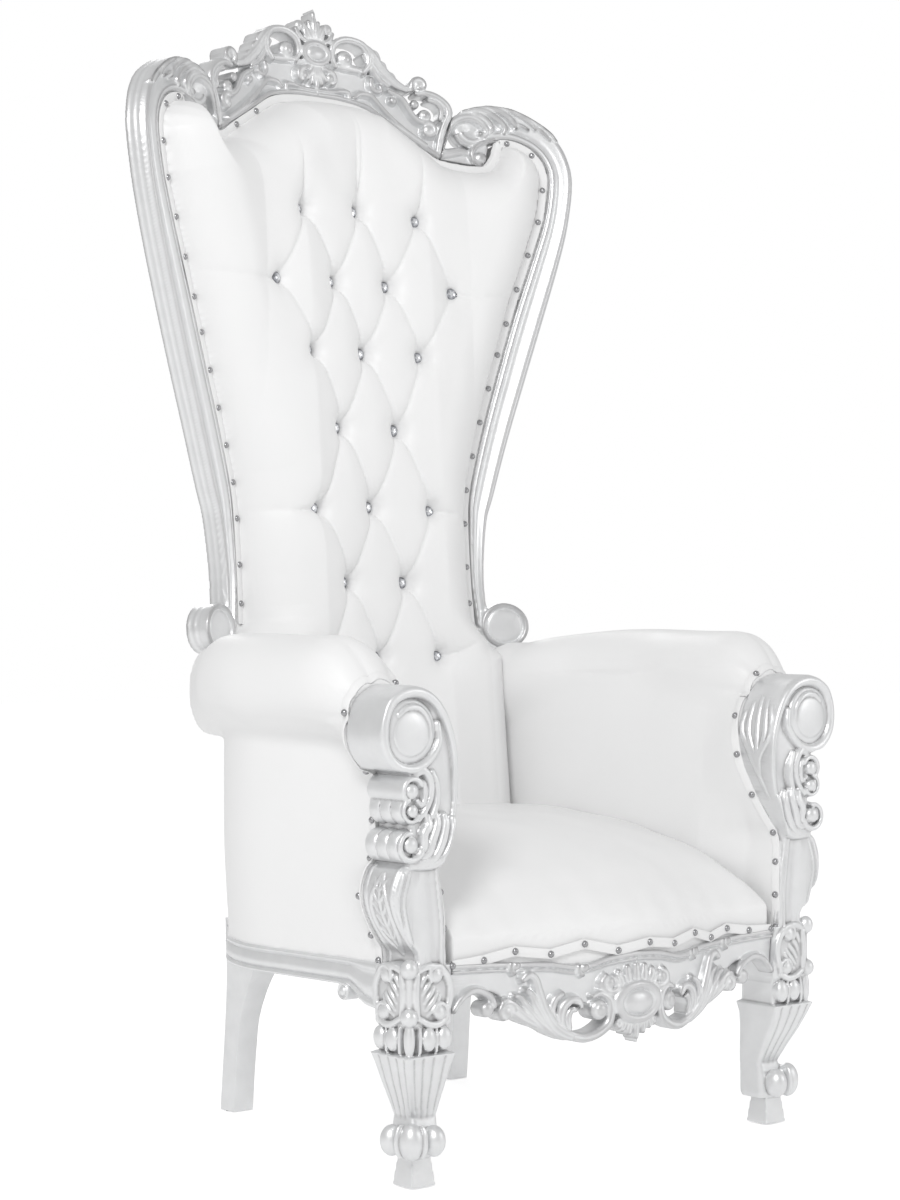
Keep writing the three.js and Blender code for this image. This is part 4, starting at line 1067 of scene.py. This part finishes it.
def along_line(x, z, line):
    """Distance from a line, and how far along it the nearest place lies."""
    steps = np.hypot(*np.diff(line, axis=0).T)
    start = np.concatenate([[0], np.cumsum(steps)])
    best, share = np.full(x.shape, 1e9), np.zeros_like(x)
    for k, (a, b) in enumerate(zip(line[:-1], line[1:])):
        dx, dz = b - a
        u = (((x - a[0]) * dx + (z - a[1]) * dz) / (dx * dx + dz * dz)).clip(0, 1)
        away = np.hypot(x - a[0] - u * dx, z - a[1] - u * dz)
        near = away < best
        best = np.where(near, away, best)
        share = np.where(near, (start[k] + u * steps[k]) / start[-1], share)
    return best, share


def tufted_out(x, z, inside):
    """How far the tufted cushion stands out of the back."""
    rim = BAND_WIDTH * np.clip((z - 740) / 40, 0, 1)
    swell = 1 - (1 - np.clip((inside - rim) / np.interp(z, [740, 800], [60, 88]), 0, 1)) ** 2.5
    out = PILLOW_OUT * swell ** 0.6 * (1 - 0.22 * np.clip((x - 150) / 90, 0, 1))
    dips = np.zeros_like(x)
    for line, end in crease_lines():
        away, share = along_line(x, z, line)
        if end == BUTTON_DIP:
            depth = CREASE_DIP + (BUTTON_DIP - CREASE_DIP) * np.abs(2 * share - 1) ** 3.0
        else:
            depth = end + (BUTTON_DIP - end) * (1 - share) ** 4
        dips += (depth * (0.5 * np.exp(-away / 4.5) + 0.5 * np.exp(-(away / 25) ** 1.4))) ** 3
    for bx, bz in tuft_places():
        dips += (BUTTON_DIP * np.exp(-(np.hypot(x - bx, z - bz) / 15) ** 1.7)) ** 3
    at_buttons = PILLOW_OUT - BUTTON_DIP
    return out - dips ** (1 / 3) * np.clip((out - at_buttons) / BUTTON_DIP, 0.25, 1)


def loose(x, z, size):
    """Small unevenness, as hand-pulled leatherette has."""
    broad = np.sin(x / 37 + 1.3) * np.sin(z / 53 + 0.4)
    fine = 0.6 * np.sin(x / 19 + z / 27) * np.sin(z / 71 - x / 44)
    return size * (broad + fine)


def padded_piece(thing, slot, fill, *nodes):
    """A soft piece; its fill, how full the stuffing is, is not used."""
    settle(thing, slot, *nodes)


def back_cushion():
    sheet = Carving((0, CUSHION_FOOT), (408, 1664), CUSHION_STEP)
    sheet.inside = sheet.shape_distance(CUSHION_EDGE)
    sheet.height = tufted_out(sheet.x, sheet.z, sheet.inside)
    whole = sheet.mirrored()
    whole.height += loose(whole.x, whole.z, 1.2) * np.clip(whole.height / 60, 0, 1)
    points, faces = whole.cut(CUSHION_BACK, on_back)
    thing = mesh_object("tufted_back", points, faces, "white_vinyl")
    padded_piece(thin_out(thing, KEEP["back"]), "white_vinyl", 0.8, "back_cushion")


# cut stone and its rim as [radius, out], and the painted reflection on the stone's facets: how dark each
# ring of them is
STONE_SIDES = 10
STONE = [(0, 6.6), (3.2, 6.3), (6.4, 5.6), (9.2, 3.4), (10.2, 0.5)]
STONE_PAINTED_REFLECTION = [0.0, 0.12, 0.42, 0.72, 0.95]
RIM = [(0, 0.2), (10, 0.4), (10.3, 2.2), (11.2, 2.6), (11.9, 1.4), (12.1, -4), (0, -4)]


def crystal_buttons():
    """A cut stone in a round metal rim on each tuft."""
    tufts = [(float(x * side), float(z)) for x, z in tuft_places() for side in ((1, -1) if x else (1,))]
    tufts.sort(key=lambda place: (-round(place[1] / 20), place[0]))
    nodes = [name for name in frame["nodes"] if name.startswith("back_button_")]
    base = PILLOW_OUT - BUTTON_DIP + 1.5
    rims = []
    for x, z in tufts:
        axes = surface_axes(lambda a, b: on_back(a, b, base + 0 * a), x, z)
        place = on_back(np.array(x), np.array(z), base)
        node = min(nodes, key=lambda name: np.linalg.norm(np.array(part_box(name)).mean(0) - place))
        points, faces = turned(STONE, STONE_SIDES, twist=True)
        points = points * MM @ axes + place
        thing = mesh_object(f"stone_{node[-2:]}", points, faces, "crystal", smooth=False)
        # painted reflection: darker rings towards the rim, and neighbouring facets lighter and darker as a
        # painted glint
        shade = [depth + 0.16 * (-1) ** n for depth in STONE_PAINTED_REFLECTION for n in range(STONE_SIDES)]
        mark = thing.data.attributes.new("painted_reflection", "FLOAT", "POINT")
        mark.data.foreach_set("value", np.clip(shade, 0, 1).astype(np.float32))
        settle(thing, "crystal", node)
        rims.append((turned(RIM, 24), axes, place))
    joined("button_rims", rims, "nail_silver")


def surface_axes(surface, a, b):
    """Rows: across, up and out of a surface at one place."""
    steps = ((0, 0), (1.0, 0), (0, 1.0))
    here, across, up = (surface(np.array(a + da), np.array(b + db)) for da, db in steps)
    u = (across - here) / np.linalg.norm(across - here)
    v = (up - here) / np.linalg.norm(up - here)
    return np.array([u, v, np.cross(u, v)])


def axes_facing(out):
    out = np.array(out, float) / np.linalg.norm(out)
    side = np.cross(out, [0.1, 0.2, 1.0])
    side /= np.linalg.norm(side)
    return np.array([side, np.cross(out, side), out])


def turned(profile, sides, twist=False):
    """Points and quads of a profile of [radius, out] turned round; a twist makes lozenge facets."""
    points, faces = [], []
    for k, (radius, out) in enumerate(profile):
        shift = 0.5 * (k % 2) if twist else 0
        for n in range(sides):
            angle = 2 * math.pi * (n + shift) / sides
            points.append((max(radius, 0.02) * math.cos(angle), max(radius, 0.02) * math.sin(angle), out))
    for k in range(len(profile) - 1):
        for n in range(sides):
            m = (n + 1) % sides
            faces.append((k * sides + n, (k + 1) * sides + n, (k + 1) * sides + m, k * sides + m))
    return np.array(points), np.array(faces)


def joined(name, parts, slot):
    """One object from several turned parts, each with its axes and its place."""
    points, faces, count = [], [], 0
    for (shape, quads), axes, place in parts:
        points.append(shape * MM @ axes + place)
        faces.append(quads + count)
        count += len(shape)
    thing = mesh_object(name, np.concatenate(points), np.concatenate(faces), slot)
    return settle(thing, slot)


NAIL = [(0, 4.2), (1.9, 3.9), (3.6, 2.9), (4.8, 1.3), (5.2, -0.4), (5.1, -1.4)]
NAIL_SIDES = 14
BACK_NAIL_OUT, SEAT_NAIL_OUT, ARM_NAIL_OUT = 3.0, 3.6, 2.4


def nails_on(name, surface, spots):
    """Dome nails at places on a surface, each facing out of it."""
    parts = [(turned(NAIL, NAIL_SIDES), surface_axes(surface, x, z), surface(np.array(x), np.array(z)))
             for x, z in spots]
    joined(name, parts, "nail_silver")


def band_places(steps=6):
    """Middle of the band round the back, on the right half, from the foot up to the crest."""
    rows = smooth_path([[x, z, 0] for x, z in CUSHION_EDGE[:26]], steps)[:, :2][::-1]
    along = np.gradient(rows, axis=0)
    inward = np.stack([-along[:, 1], along[:, 0]], 1) / np.linalg.norm(along, axis=1, keepdims=True)
    return rows + inward * BAND_WIDTH * 0.58


def back_band():
    right = band_places()
    line = np.concatenate([right[:-1], (right * [-1, 1])[::-1]])
    centre = on_back(line[:, 0], line[:, 1], 0.6 + 0 * line[:, 0])
    out = on_back(line[:, 0], line[:, 1], 1.6 + 0 * line[:, 0]) - centre
    out /= np.linalg.norm(out, axis=1, keepdims=True)
    ahead = np.gradient(centre, axis=0)
    across = np.cross(ahead, out)
    across /= np.linalg.norm(across, axis=1, keepdims=True)
    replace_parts(strip("back_band", centre, across, out, BAND_WIDTH - 1.5, 2.2), "back_gimp_band")


BACK_NAILS = [1524, 1467, 1408, 1350, 1291, 1233, 1175, 1117, 1060, 1001, 942, 870, 808]
CREST_NAILS = [140, 188]
SHOULDER_NAILS = [(342, 1602), (376, 1584)]


def back_nails():
    band = band_places(24)
    over_the_arm = (band[:, 0] > 225) & ((band[:, 1] < 1540) | (band[:, 0] > 380))
    spots = []
    for x, z in [(None, z) for z in BACK_NAILS] + [(x, None) for x in CREST_NAILS] + SHOULDER_NAILS:
        if z is None:
            gap = np.abs(band[:, 0] - x) + (band[:, 1] < 1570) * 1000
        else:
            gap = np.abs(band[:, 1] - z) + (np.abs(band[:, 0] - x) if x else ~over_the_arm * 1000)
        spots.append(band[int(np.argmin(gap))])
    both = [(float(x * way), float(z)) for x, z in spots for way in (1, -1)]
    nails_on("back_nails", lambda a, b: on_back(a, b, BACK_NAIL_OUT + 0 * a), both)


SEAT_FOOT = 292.0
SEAT_REAR = 176.0
SEAT_INNER = [[-404, 316], [-330, 312], [-200, 306], [-50, 294], [176, 274], [240, 270]]
SEAT_SIDE = [[-405, 322], [-398, 342], [-380, 356], [-342, 379], [-260, 412], [-130, 443], [0, 460],
             [180, 466]]
SEAT_MIDDLE = [[-433, 318], [-429, 344], [-416, 368], [-385, 398], [-330, 432], [-200, 470], [-50, 485],
               [180, 478]]


def curve_value(rows, at):
    line = smooth_path(rows)
    return np.interp(at, line[:, 0], line[:, 1])


def seat_cushion():
    """The crowned seat; here the sheet lies flat, x across and y in depth."""
    sheet = Carving((0, -440), (320, SEAT_REAR + 3), CUSHION_STEP)
    x, y = sheet.x, sheet.z
    front = rail_face(x)
    side = curve_value(SEAT_INNER, y)
    share = np.sqrt(np.clip(1 - (x / side) ** 2, 0, 1))
    low, high = curve_value(SEAT_SIDE, y), curve_value(SEAT_MIDDLE, y - 433 - front)
    sheet.inside = np.minimum(np.minimum(side - 1.5 - x, y - front - 3), SEAT_REAR - y)
    sheet.height = low + (high - low) * share
    # pull marks that run back from the front edge, and soft waves beside the arms
    pull = np.exp(-(y - front) / 45) * np.cos(np.pi * x / 28)
    waves = np.exp(-(side - x) / 30) * np.sin(y / 21 + x / 40)
    sheet.height += 1.4 * pull + 1.6 * waves
    whole = sheet.mirrored()
    whole.height += loose(whole.x, whole.z, 1.3)
    place = lambda a, b, out: np.stack([a, b + SHIFT_Y, out], -1) * MM
    points, faces = whole.cut(SEAT_FOOT, place)
    thing = mesh_object("seat_pad", points, faces[:, ::-1], "white_vinyl")
    padded_piece(thin_out(thing, KEEP["seat"]), "white_vinyl", 0.8, "seat_cushion")


ROLL_CENTRE = [[-334, 397], [-250, 401], [-150, 404], [-60, 404], [40, 381], [120, 338], [200, 309]]
ROLL_RADIUS = 68.0
# height of the middle of the roll, and how much lower it lies at the rear
ROLL_HEIGHT, ROLL_DROP = 697, 24
PANEL_FOOT = 307
PANEL_JOIN = 22.0
ROLL_REACH = [[-334, 1], [-60, 1], [120, 0.85], [200, 0.6]]
SIDE_PLAN = [[-334, 390], [-240, 394], [-130, 404], [-40, 408], [40, 384], [110, 338], [172, 292],
             [222, 262]]
TONGUE_FRONT = [[300, -401], [410, -400], [455, -391], [513, -366], [574, -340], [640, -328], [780, -328]]
STUMP_INNER = [[300, 335], [360, 335], [400, 338], [445, 344], [478, 332], [520, 318], [565, 312],
               [610, 316], [650, 331], [681, 358], [780, 400]]
PANEL_LEAN = [[300, 0], [420, 0], [520, 6], [600, 14], [650, 24], [700, 40]]
PANEL_PUFF = [[300, 0], [440, 9], [590, 10], [700, 8]]
ARM_FRONT, ARM_REAR, ARM_STEP = -332.0, 206.0, 4.0
FUNNEL = 92.0
# where the cover is pinched round the volute: angle, depth, half width in degrees
PLEATS = [(28, 9, 6), (84, 9, 5), (142, 9, 5), (-22, 4, 4), (-33, 4.5, 4), (-45, 4, 4), (56, 3.5, 5),
          (112, 3.5, 5)]
PLEAT_CENTRE = (397, 625)
PLEAT_REACH, PLEAT_FOOT = 52, 540


def smooth_union(a, b, soft):
    blend = np.clip(0.5 + (a - b) / (2 * soft), 0, 1)
    return b + (a - b) * blend + soft * blend * (1 - blend)


def arm_pads():
    """The padded arm: a fat roll over flat panels, drawn in round the volute at the front."""
    sheet = Carving((242, 300), (482, 776), ARM_STEP)
    stump = sheet.shape_distance(stump_outline())[:, None, :]
    xs, zs = sheet.x[:, :1, None], sheet.z[0][None, None, :]
    ys = np.arange(-410, ARM_REAR + 9, ARM_STEP)[None, :, None]
    centre, reach = curve_value(ROLL_CENTRE, ys), np.interp(ys, *np.array(ROLL_REACH).T)
    height = ROLL_HEIGHT - ROLL_DROP * np.clip((ys + 20) / 180, 0, 1) ** 2
    dx = np.where(xs > centre, (xs - centre) / reach, xs - centre)
    dz = zs - height
    roll = ROLL_RADIUS + 0.9 * np.sin(ys / 41 + np.arctan2(dz, dx) * 2) - np.hypot(dx, dz)
    lean = curve_value(PANEL_LEAN, zs) * np.interp(ys, [-120, 150], [1, 0.15])
    inner = curve_value(SEAT_INNER, ys) + lean + 1.2 * np.sin(ys / 33 + zs / 60)
    outer = curve_value(SIDE_PLAN, ys) - 3 + curve_value(PANEL_PUFF, zs)
    outer = outer + 3 * np.sin((ys - ARM_FRONT) / 170).clip(0) + 0 * zs
    # towards the front the inner face closes on the post, and a tongue of it runs on along the post's side
    post_side = curve_value(STUMP_INNER, zs)
    outer = np.where(ys < ARM_FRONT, post_side + 9, outer)
    close = ((ys - ARM_FRONT) / 80).clip(0, 1) ** 0.8
    inner = inner * close + (post_side - 4) * (1 - close)
    front = curve_value(TONGUE_FRONT, zs)
    inner = inner + 4 * np.exp(-(ys - front).clip(0) / 4)
    panel = np.minimum(np.minimum(xs - inner, outer - xs), np.minimum(zs - PANEL_FOOT, height - 4 - zs))
    panel = np.minimum(panel, ys - front)
    body = smooth_union(roll, panel, PANEL_JOIN)
    share = 1 - (1 - ((ys - ARM_FRONT) / FUNNEL).clip(0, 1)) ** 2.3
    drawn = body * share + np.maximum(stump + 3.5, panel) * (1 - share)
    turn = np.degrees(np.arctan2(zs - PLEAT_CENTRE[1], xs - PLEAT_CENTRE[0]))
    gather = np.exp(-((ys - ARM_FRONT) / PLEAT_REACH).clip(0) ** 1.5) * (zs > PLEAT_FOOT)
    for angle, depth, half in PLEATS:
        away = np.abs((turn - angle + 180) % 360 - 180) / half
        drawn = drawn - depth * gather * np.exp(-away * 1.3)
    field = np.where(ys < ARM_FRONT, panel, drawn)
    field = np.minimum(field, ARM_REAR - ys)
    field[[0, -1]] = -1
    points, faces = surface_net(field, (xs.flat[0], ys.flat[0], zs.flat[0]), ARM_STEP)
    points = (points + [0, SHIFT_Y, 0]) * MM
    points = points + 0.5 * (neighbour_mean(points, faces, 1) - points)
    right = mesh_object("arm_pad_right", points, faces, "white_vinyl")
    left = mirror_copy(right)
    padded_piece(right, "white_vinyl", 0.8, "arm_upholstery_right")
    padded_piece(left, "white_vinyl", 0.8, "arm_upholstery_left")
    return right


SEAT_NAILS = [
    [-321, 308], [-264, 311], [-208, 319], [-149, 311], [-94, 322], [-36, 309], [26, 316], [83, 309],
    [136, 319], [178, 308], [217, 318], [266, 311], [314, 309],
]
# the arm's bands: y and z up the inner side, then x and z round the volute and down the outer side
INNER_BAND = [[-397, 311], [-396, 360], [-393, 410], [-385, 455], [-361, 513], [-336, 574], [-326, 625],
              [-325, 662]]
OUTER_BAND = [
    [336, 661], [347, 679], [362, 689], [378, 696], [396, 698], [420, 690], [441, 673], [452, 636],
    [447, 608], [430, 586], [406, 566], [399, 545], [398, 500], [402, 456], [414, 442], [424, 412],
    [416, 380], [396, 346], [386, 326], [386, 311],
]
INNER_NAILS = [309, 360, 410, 455, 513, 574, 636]
RING_NAILS = [(364, 690), (449, 660), (416, 577), (398, 545), (398, 507), (402, 453), (424, 405),
              (400, 355), (386, 315)]


def strip(name, centre, across, out, width, thick, slot="white_band"):
    """A flat band along a line of places, with the ways across it and out of it."""
    centre, across, out = (np.asarray(a, float) for a in (centre, across, out))
    section = [(-1, 0), (-1, 0.8), (-0.85, 1), (0.85, 1), (1, 0.8), (1, 0)]
    rings = [centre + across * (s * width / 2 * MM) + out * (h * thick * MM) for s, h in section]
    points = np.stack(rings, 1).reshape(-1, 3)
    n, k = len(centre), len(section)
    faces = [(i * k + j, i * k + (j + 1) % k, (i + 1) * k + (j + 1) % k, (i + 1) * k + j)
             for i in range(n - 1) for j in range(k)]
    thing = mesh_object(name, points, faces, slot)
    return settle(thing, slot)


def seat_trim():
    """The band that zigzags from nail to nail along the front of the seat."""
    spots = np.array(SEAT_NAILS, float)
    rows = []
    for a, b in zip(spots[:-1], spots[1:]):
        for t in np.linspace(0, 1, 8, endpoint=False):
            rows.append(a + (b - a) * t)
    line = np.array(rows + [spots[-1]])
    centre = on_rail(line[:, 0], line[:, 1], 1.0 + 0 * line[:, 0])
    ahead = np.gradient(centre, axis=0)
    ahead /= np.linalg.norm(ahead, axis=1, keepdims=True)
    out = np.cross(ahead, np.array([0, 0, 1.0]))
    band = strip("seat_band", centre, np.cross(out, ahead), out, 14.5, 2.4)
    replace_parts(band, "seat_gimp_band")
    nails_on("seat_nails", lambda a, b: on_rail(a, b, SEAT_NAIL_OUT + 0 * a), spots)


def cast(thing, start, way):
    """Place and normal where a ray, in local millimetres, meets a piece."""
    start = (np.asarray(start, float) + [0, SHIFT_Y, 0]) * MM
    found, place, normal, _ = thing.ray_cast(Vector(start), Vector(way))
    return (np.array(place), np.array(normal)) if found else None


def laid_strip(name, hits, width, thick):
    centre = np.array([place for place, _ in hits])
    out = np.array([normal for _, normal in hits])
    for _ in range(2):
        out[1:-1] = (out[:-2] + out[1:-1] * 2 + out[2:]) / 4
    ahead = np.gradient(centre, axis=0)
    across = np.cross(ahead, out)
    across /= np.linalg.norm(across, axis=1, keepdims=True)
    out = np.cross(across, ahead)
    out /= np.linalg.norm(out, axis=1, keepdims=True)
    return strip(name, centre - out * 0.4 * MM, across, out, width, thick)


def arm_trim(pad):
    """Bands and nails down the front of each arm, laid on the right pad and copied to the left."""
    bpy.context.view_layer.update()
    inner = smooth_path(INNER_BAND, 5)
    inner_hits = [cast(pad, (150, y, z), (1, 0, 0)) for y, z in inner]
    outline = smooth_path(OUTER_BAND, 5)
    along = np.gradient(outline, axis=0)
    away = np.stack([-along[:, 1], along[:, 0]], 1) / np.linalg.norm(along, axis=1, keepdims=True)
    ring_hits = []
    for (x, z), (ax, az) in zip(outline, away):
        ring_hits.append(cast(pad, (x + 50 * ax, ARM_FRONT + 6, z + 50 * az), (-ax, 0, -az)))
    nails = []
    inner_nails = [(None, z) for z in INNER_NAILS]
    for path, hits, wanted in ((inner, inner_hits, inner_nails), (outline, ring_hits, RING_NAILS)):
        for x, z in wanted:
            gap = np.abs(path[:, 1] - z) + (0 if x is None else np.abs(path[:, 0] - x))
            hit = hits[int(np.argmin(gap))]
            if hit:
                place = hit[0] + hit[1] * ARM_NAIL_OUT * MM
                nails.append((turned(NAIL, NAIL_SIDES), axes_facing(hit[1]), place))
    pieces = [
        laid_strip("arm_band_inner_right", [hit for hit in inner_hits if hit], 13, 2.0),
        laid_strip("arm_band_outer_right", [hit for hit in ring_hits if hit], 12, 2.0),
        joined("arm_nails_right", nails, "nail_silver"),
    ]
    for piece, slot in zip(pieces, ("white_band", "white_band", "nail_silver")):
        settle(mirror_copy(piece), slot)


# Side rails and rear legs

RAIL_FOOT = [[-334, 244], [-302, 248], [-284, 258], [-268, 270], [-240, 272], [0, 272], [240, 272]]
RAIL_SECTION = [
    # out of the face, share of the height
    (-22, 0), (-3, 0), (2, 0.03), (4.5, 0.10), (3.5, 0.17), (0.5, 0.21), (-0.5, 0.26), (1.5, 0.34),
    (4, 0.5), (4.5, 0.62), (2.5, 0.74), (0, 0.80), (2.5, 0.84), (4.5, 0.90), (3, 0.97), (-2, 1), (-22, 1),
]
REAR_LEG = [
    # z, x, y, half width, half depth
    (1.8, 223, 254, 19, 19), (5, 223, 254, 19.5, 19.5), (50, 223, 250, 19.5, 19.5),
    (100, 222, 246, 19.5, 20), (150, 221, 241, 20, 21.5), (200, 219, 230, 22, 30), (240, 217, 217, 26, 41),
    (268, 216, 209, 28, 50), (309, 215, 207, 30, 52),
]


def swept(name, rings, more=None):
    """A closed piece through rings of places, in local millimetres, with more points and quads if given."""
    rings = np.array(rings, float)
    middle = lambda ring: ring.mean(0) + (ring - ring.mean(0)) * 0.03
    rings = np.concatenate([[middle(rings[0])], rings, [middle(rings[-1])]])
    n, k = rings.shape[:2]
    faces = [(i * k + j, i * k + (j + 1) % k, (i + 1) * k + (j + 1) % k, (i + 1) * k + j)
             for i in range(n - 1) for j in range(k)]
    points, faces = rings.reshape(-1, 3), np.array(faces)
    if more:
        points, faces = np.concatenate([points, more[0]]), np.concatenate([faces, more[1] + len(points)])
    return mesh_object(name, (points + [0, SHIFT_Y, 0]) * MM, faces, "silver_paint")


RAIL_SCROLL_Y, RAIL_SCROLL_Z = -254.0, 264.0
RAIL_SCROLL = [(0, 8.5), (4, 8), (6.5, 6), (7.5, 4), (9, 5.5), (11, 6), (12.5, 4.5), (13, 2), (13, -18),
               (0, -18)]


def side_rails():
    plan = smooth_path(SIDE_PLAN, 8)
    plan = plan[plan[:, 0] < 226]
    along = np.gradient(plan, axis=0)
    out = np.stack([along[:, 0], -along[:, 1]], 1) / np.linalg.norm(along, axis=1, keepdims=True)
    rings = []
    for (y, x), (ox, oy) in zip(plan, out):
        foot = float(curve_value(RAIL_FOOT, y))
        rings.append([(x + ox * d, y + oy * d, 311 - (311 - foot) * share) for d, share in RAIL_SECTION])
    scroll, quads = turned(RAIL_SCROLL, 28)
    face = float(curve_value(SIDE_PLAN, RAIL_SCROLL_Y))
    scroll = scroll @ axes_facing((1, 0.02, 0)) + [face, RAIL_SCROLL_Y, RAIL_SCROLL_Z]
    right = swept("side_rail_right", rings, (scroll, quads))
    ease_edges(right)
    settle_both(right, "silver_paint", "seat_rail")


def ease_edges(thing):
    """Smooth shading, with the sharper corners kept."""
    bpy.ops.object.select_all(action="DESELECT")
    thing.select_set(True)
    bpy.context.view_layer.objects.active = thing
    bpy.ops.object.shade_smooth_by_angle(angle=math.radians(50))


def rear_legs():
    rows = smooth_path(REAR_LEG, 5)
    corner = [(-1, -0.8), (-0.95, -0.95), (-0.8, -1), (0.8, -1), (0.95, -0.95), (1, -0.8)]
    section = corner + [(-a, -b) for a, b in corner]
    rings = [[(x + a * wide, y + b * deep, z) for a, b in section] for z, x, y, wide, deep in rows]
    right = swept("rear_leg_shape_right", rings)
    ease_edges(right)
    settle_both(right, "silver_paint", "rear_leg")


def dress_frame_nodes():
    """CAD nodes whose shape is right keep it and take their finish."""
    for name, node in frame["nodes"].items():
        slot = next(p["material_slot"] for p in frame["record"]["subparts"] if p["node"] == name)
        node.data.materials.clear()
        node.data.materials.append(MATERIALS[slot])


make_camera()
make_studio()
dress_frame_nodes()
crest_rail()
back_stiles()
front_rail()
front_posts()
back_cushion()
crystal_buttons()
back_band()
back_nails()
seat_cushion()
arm_trim(arm_pads())
seat_trim()
side_rails()
rear_legs()
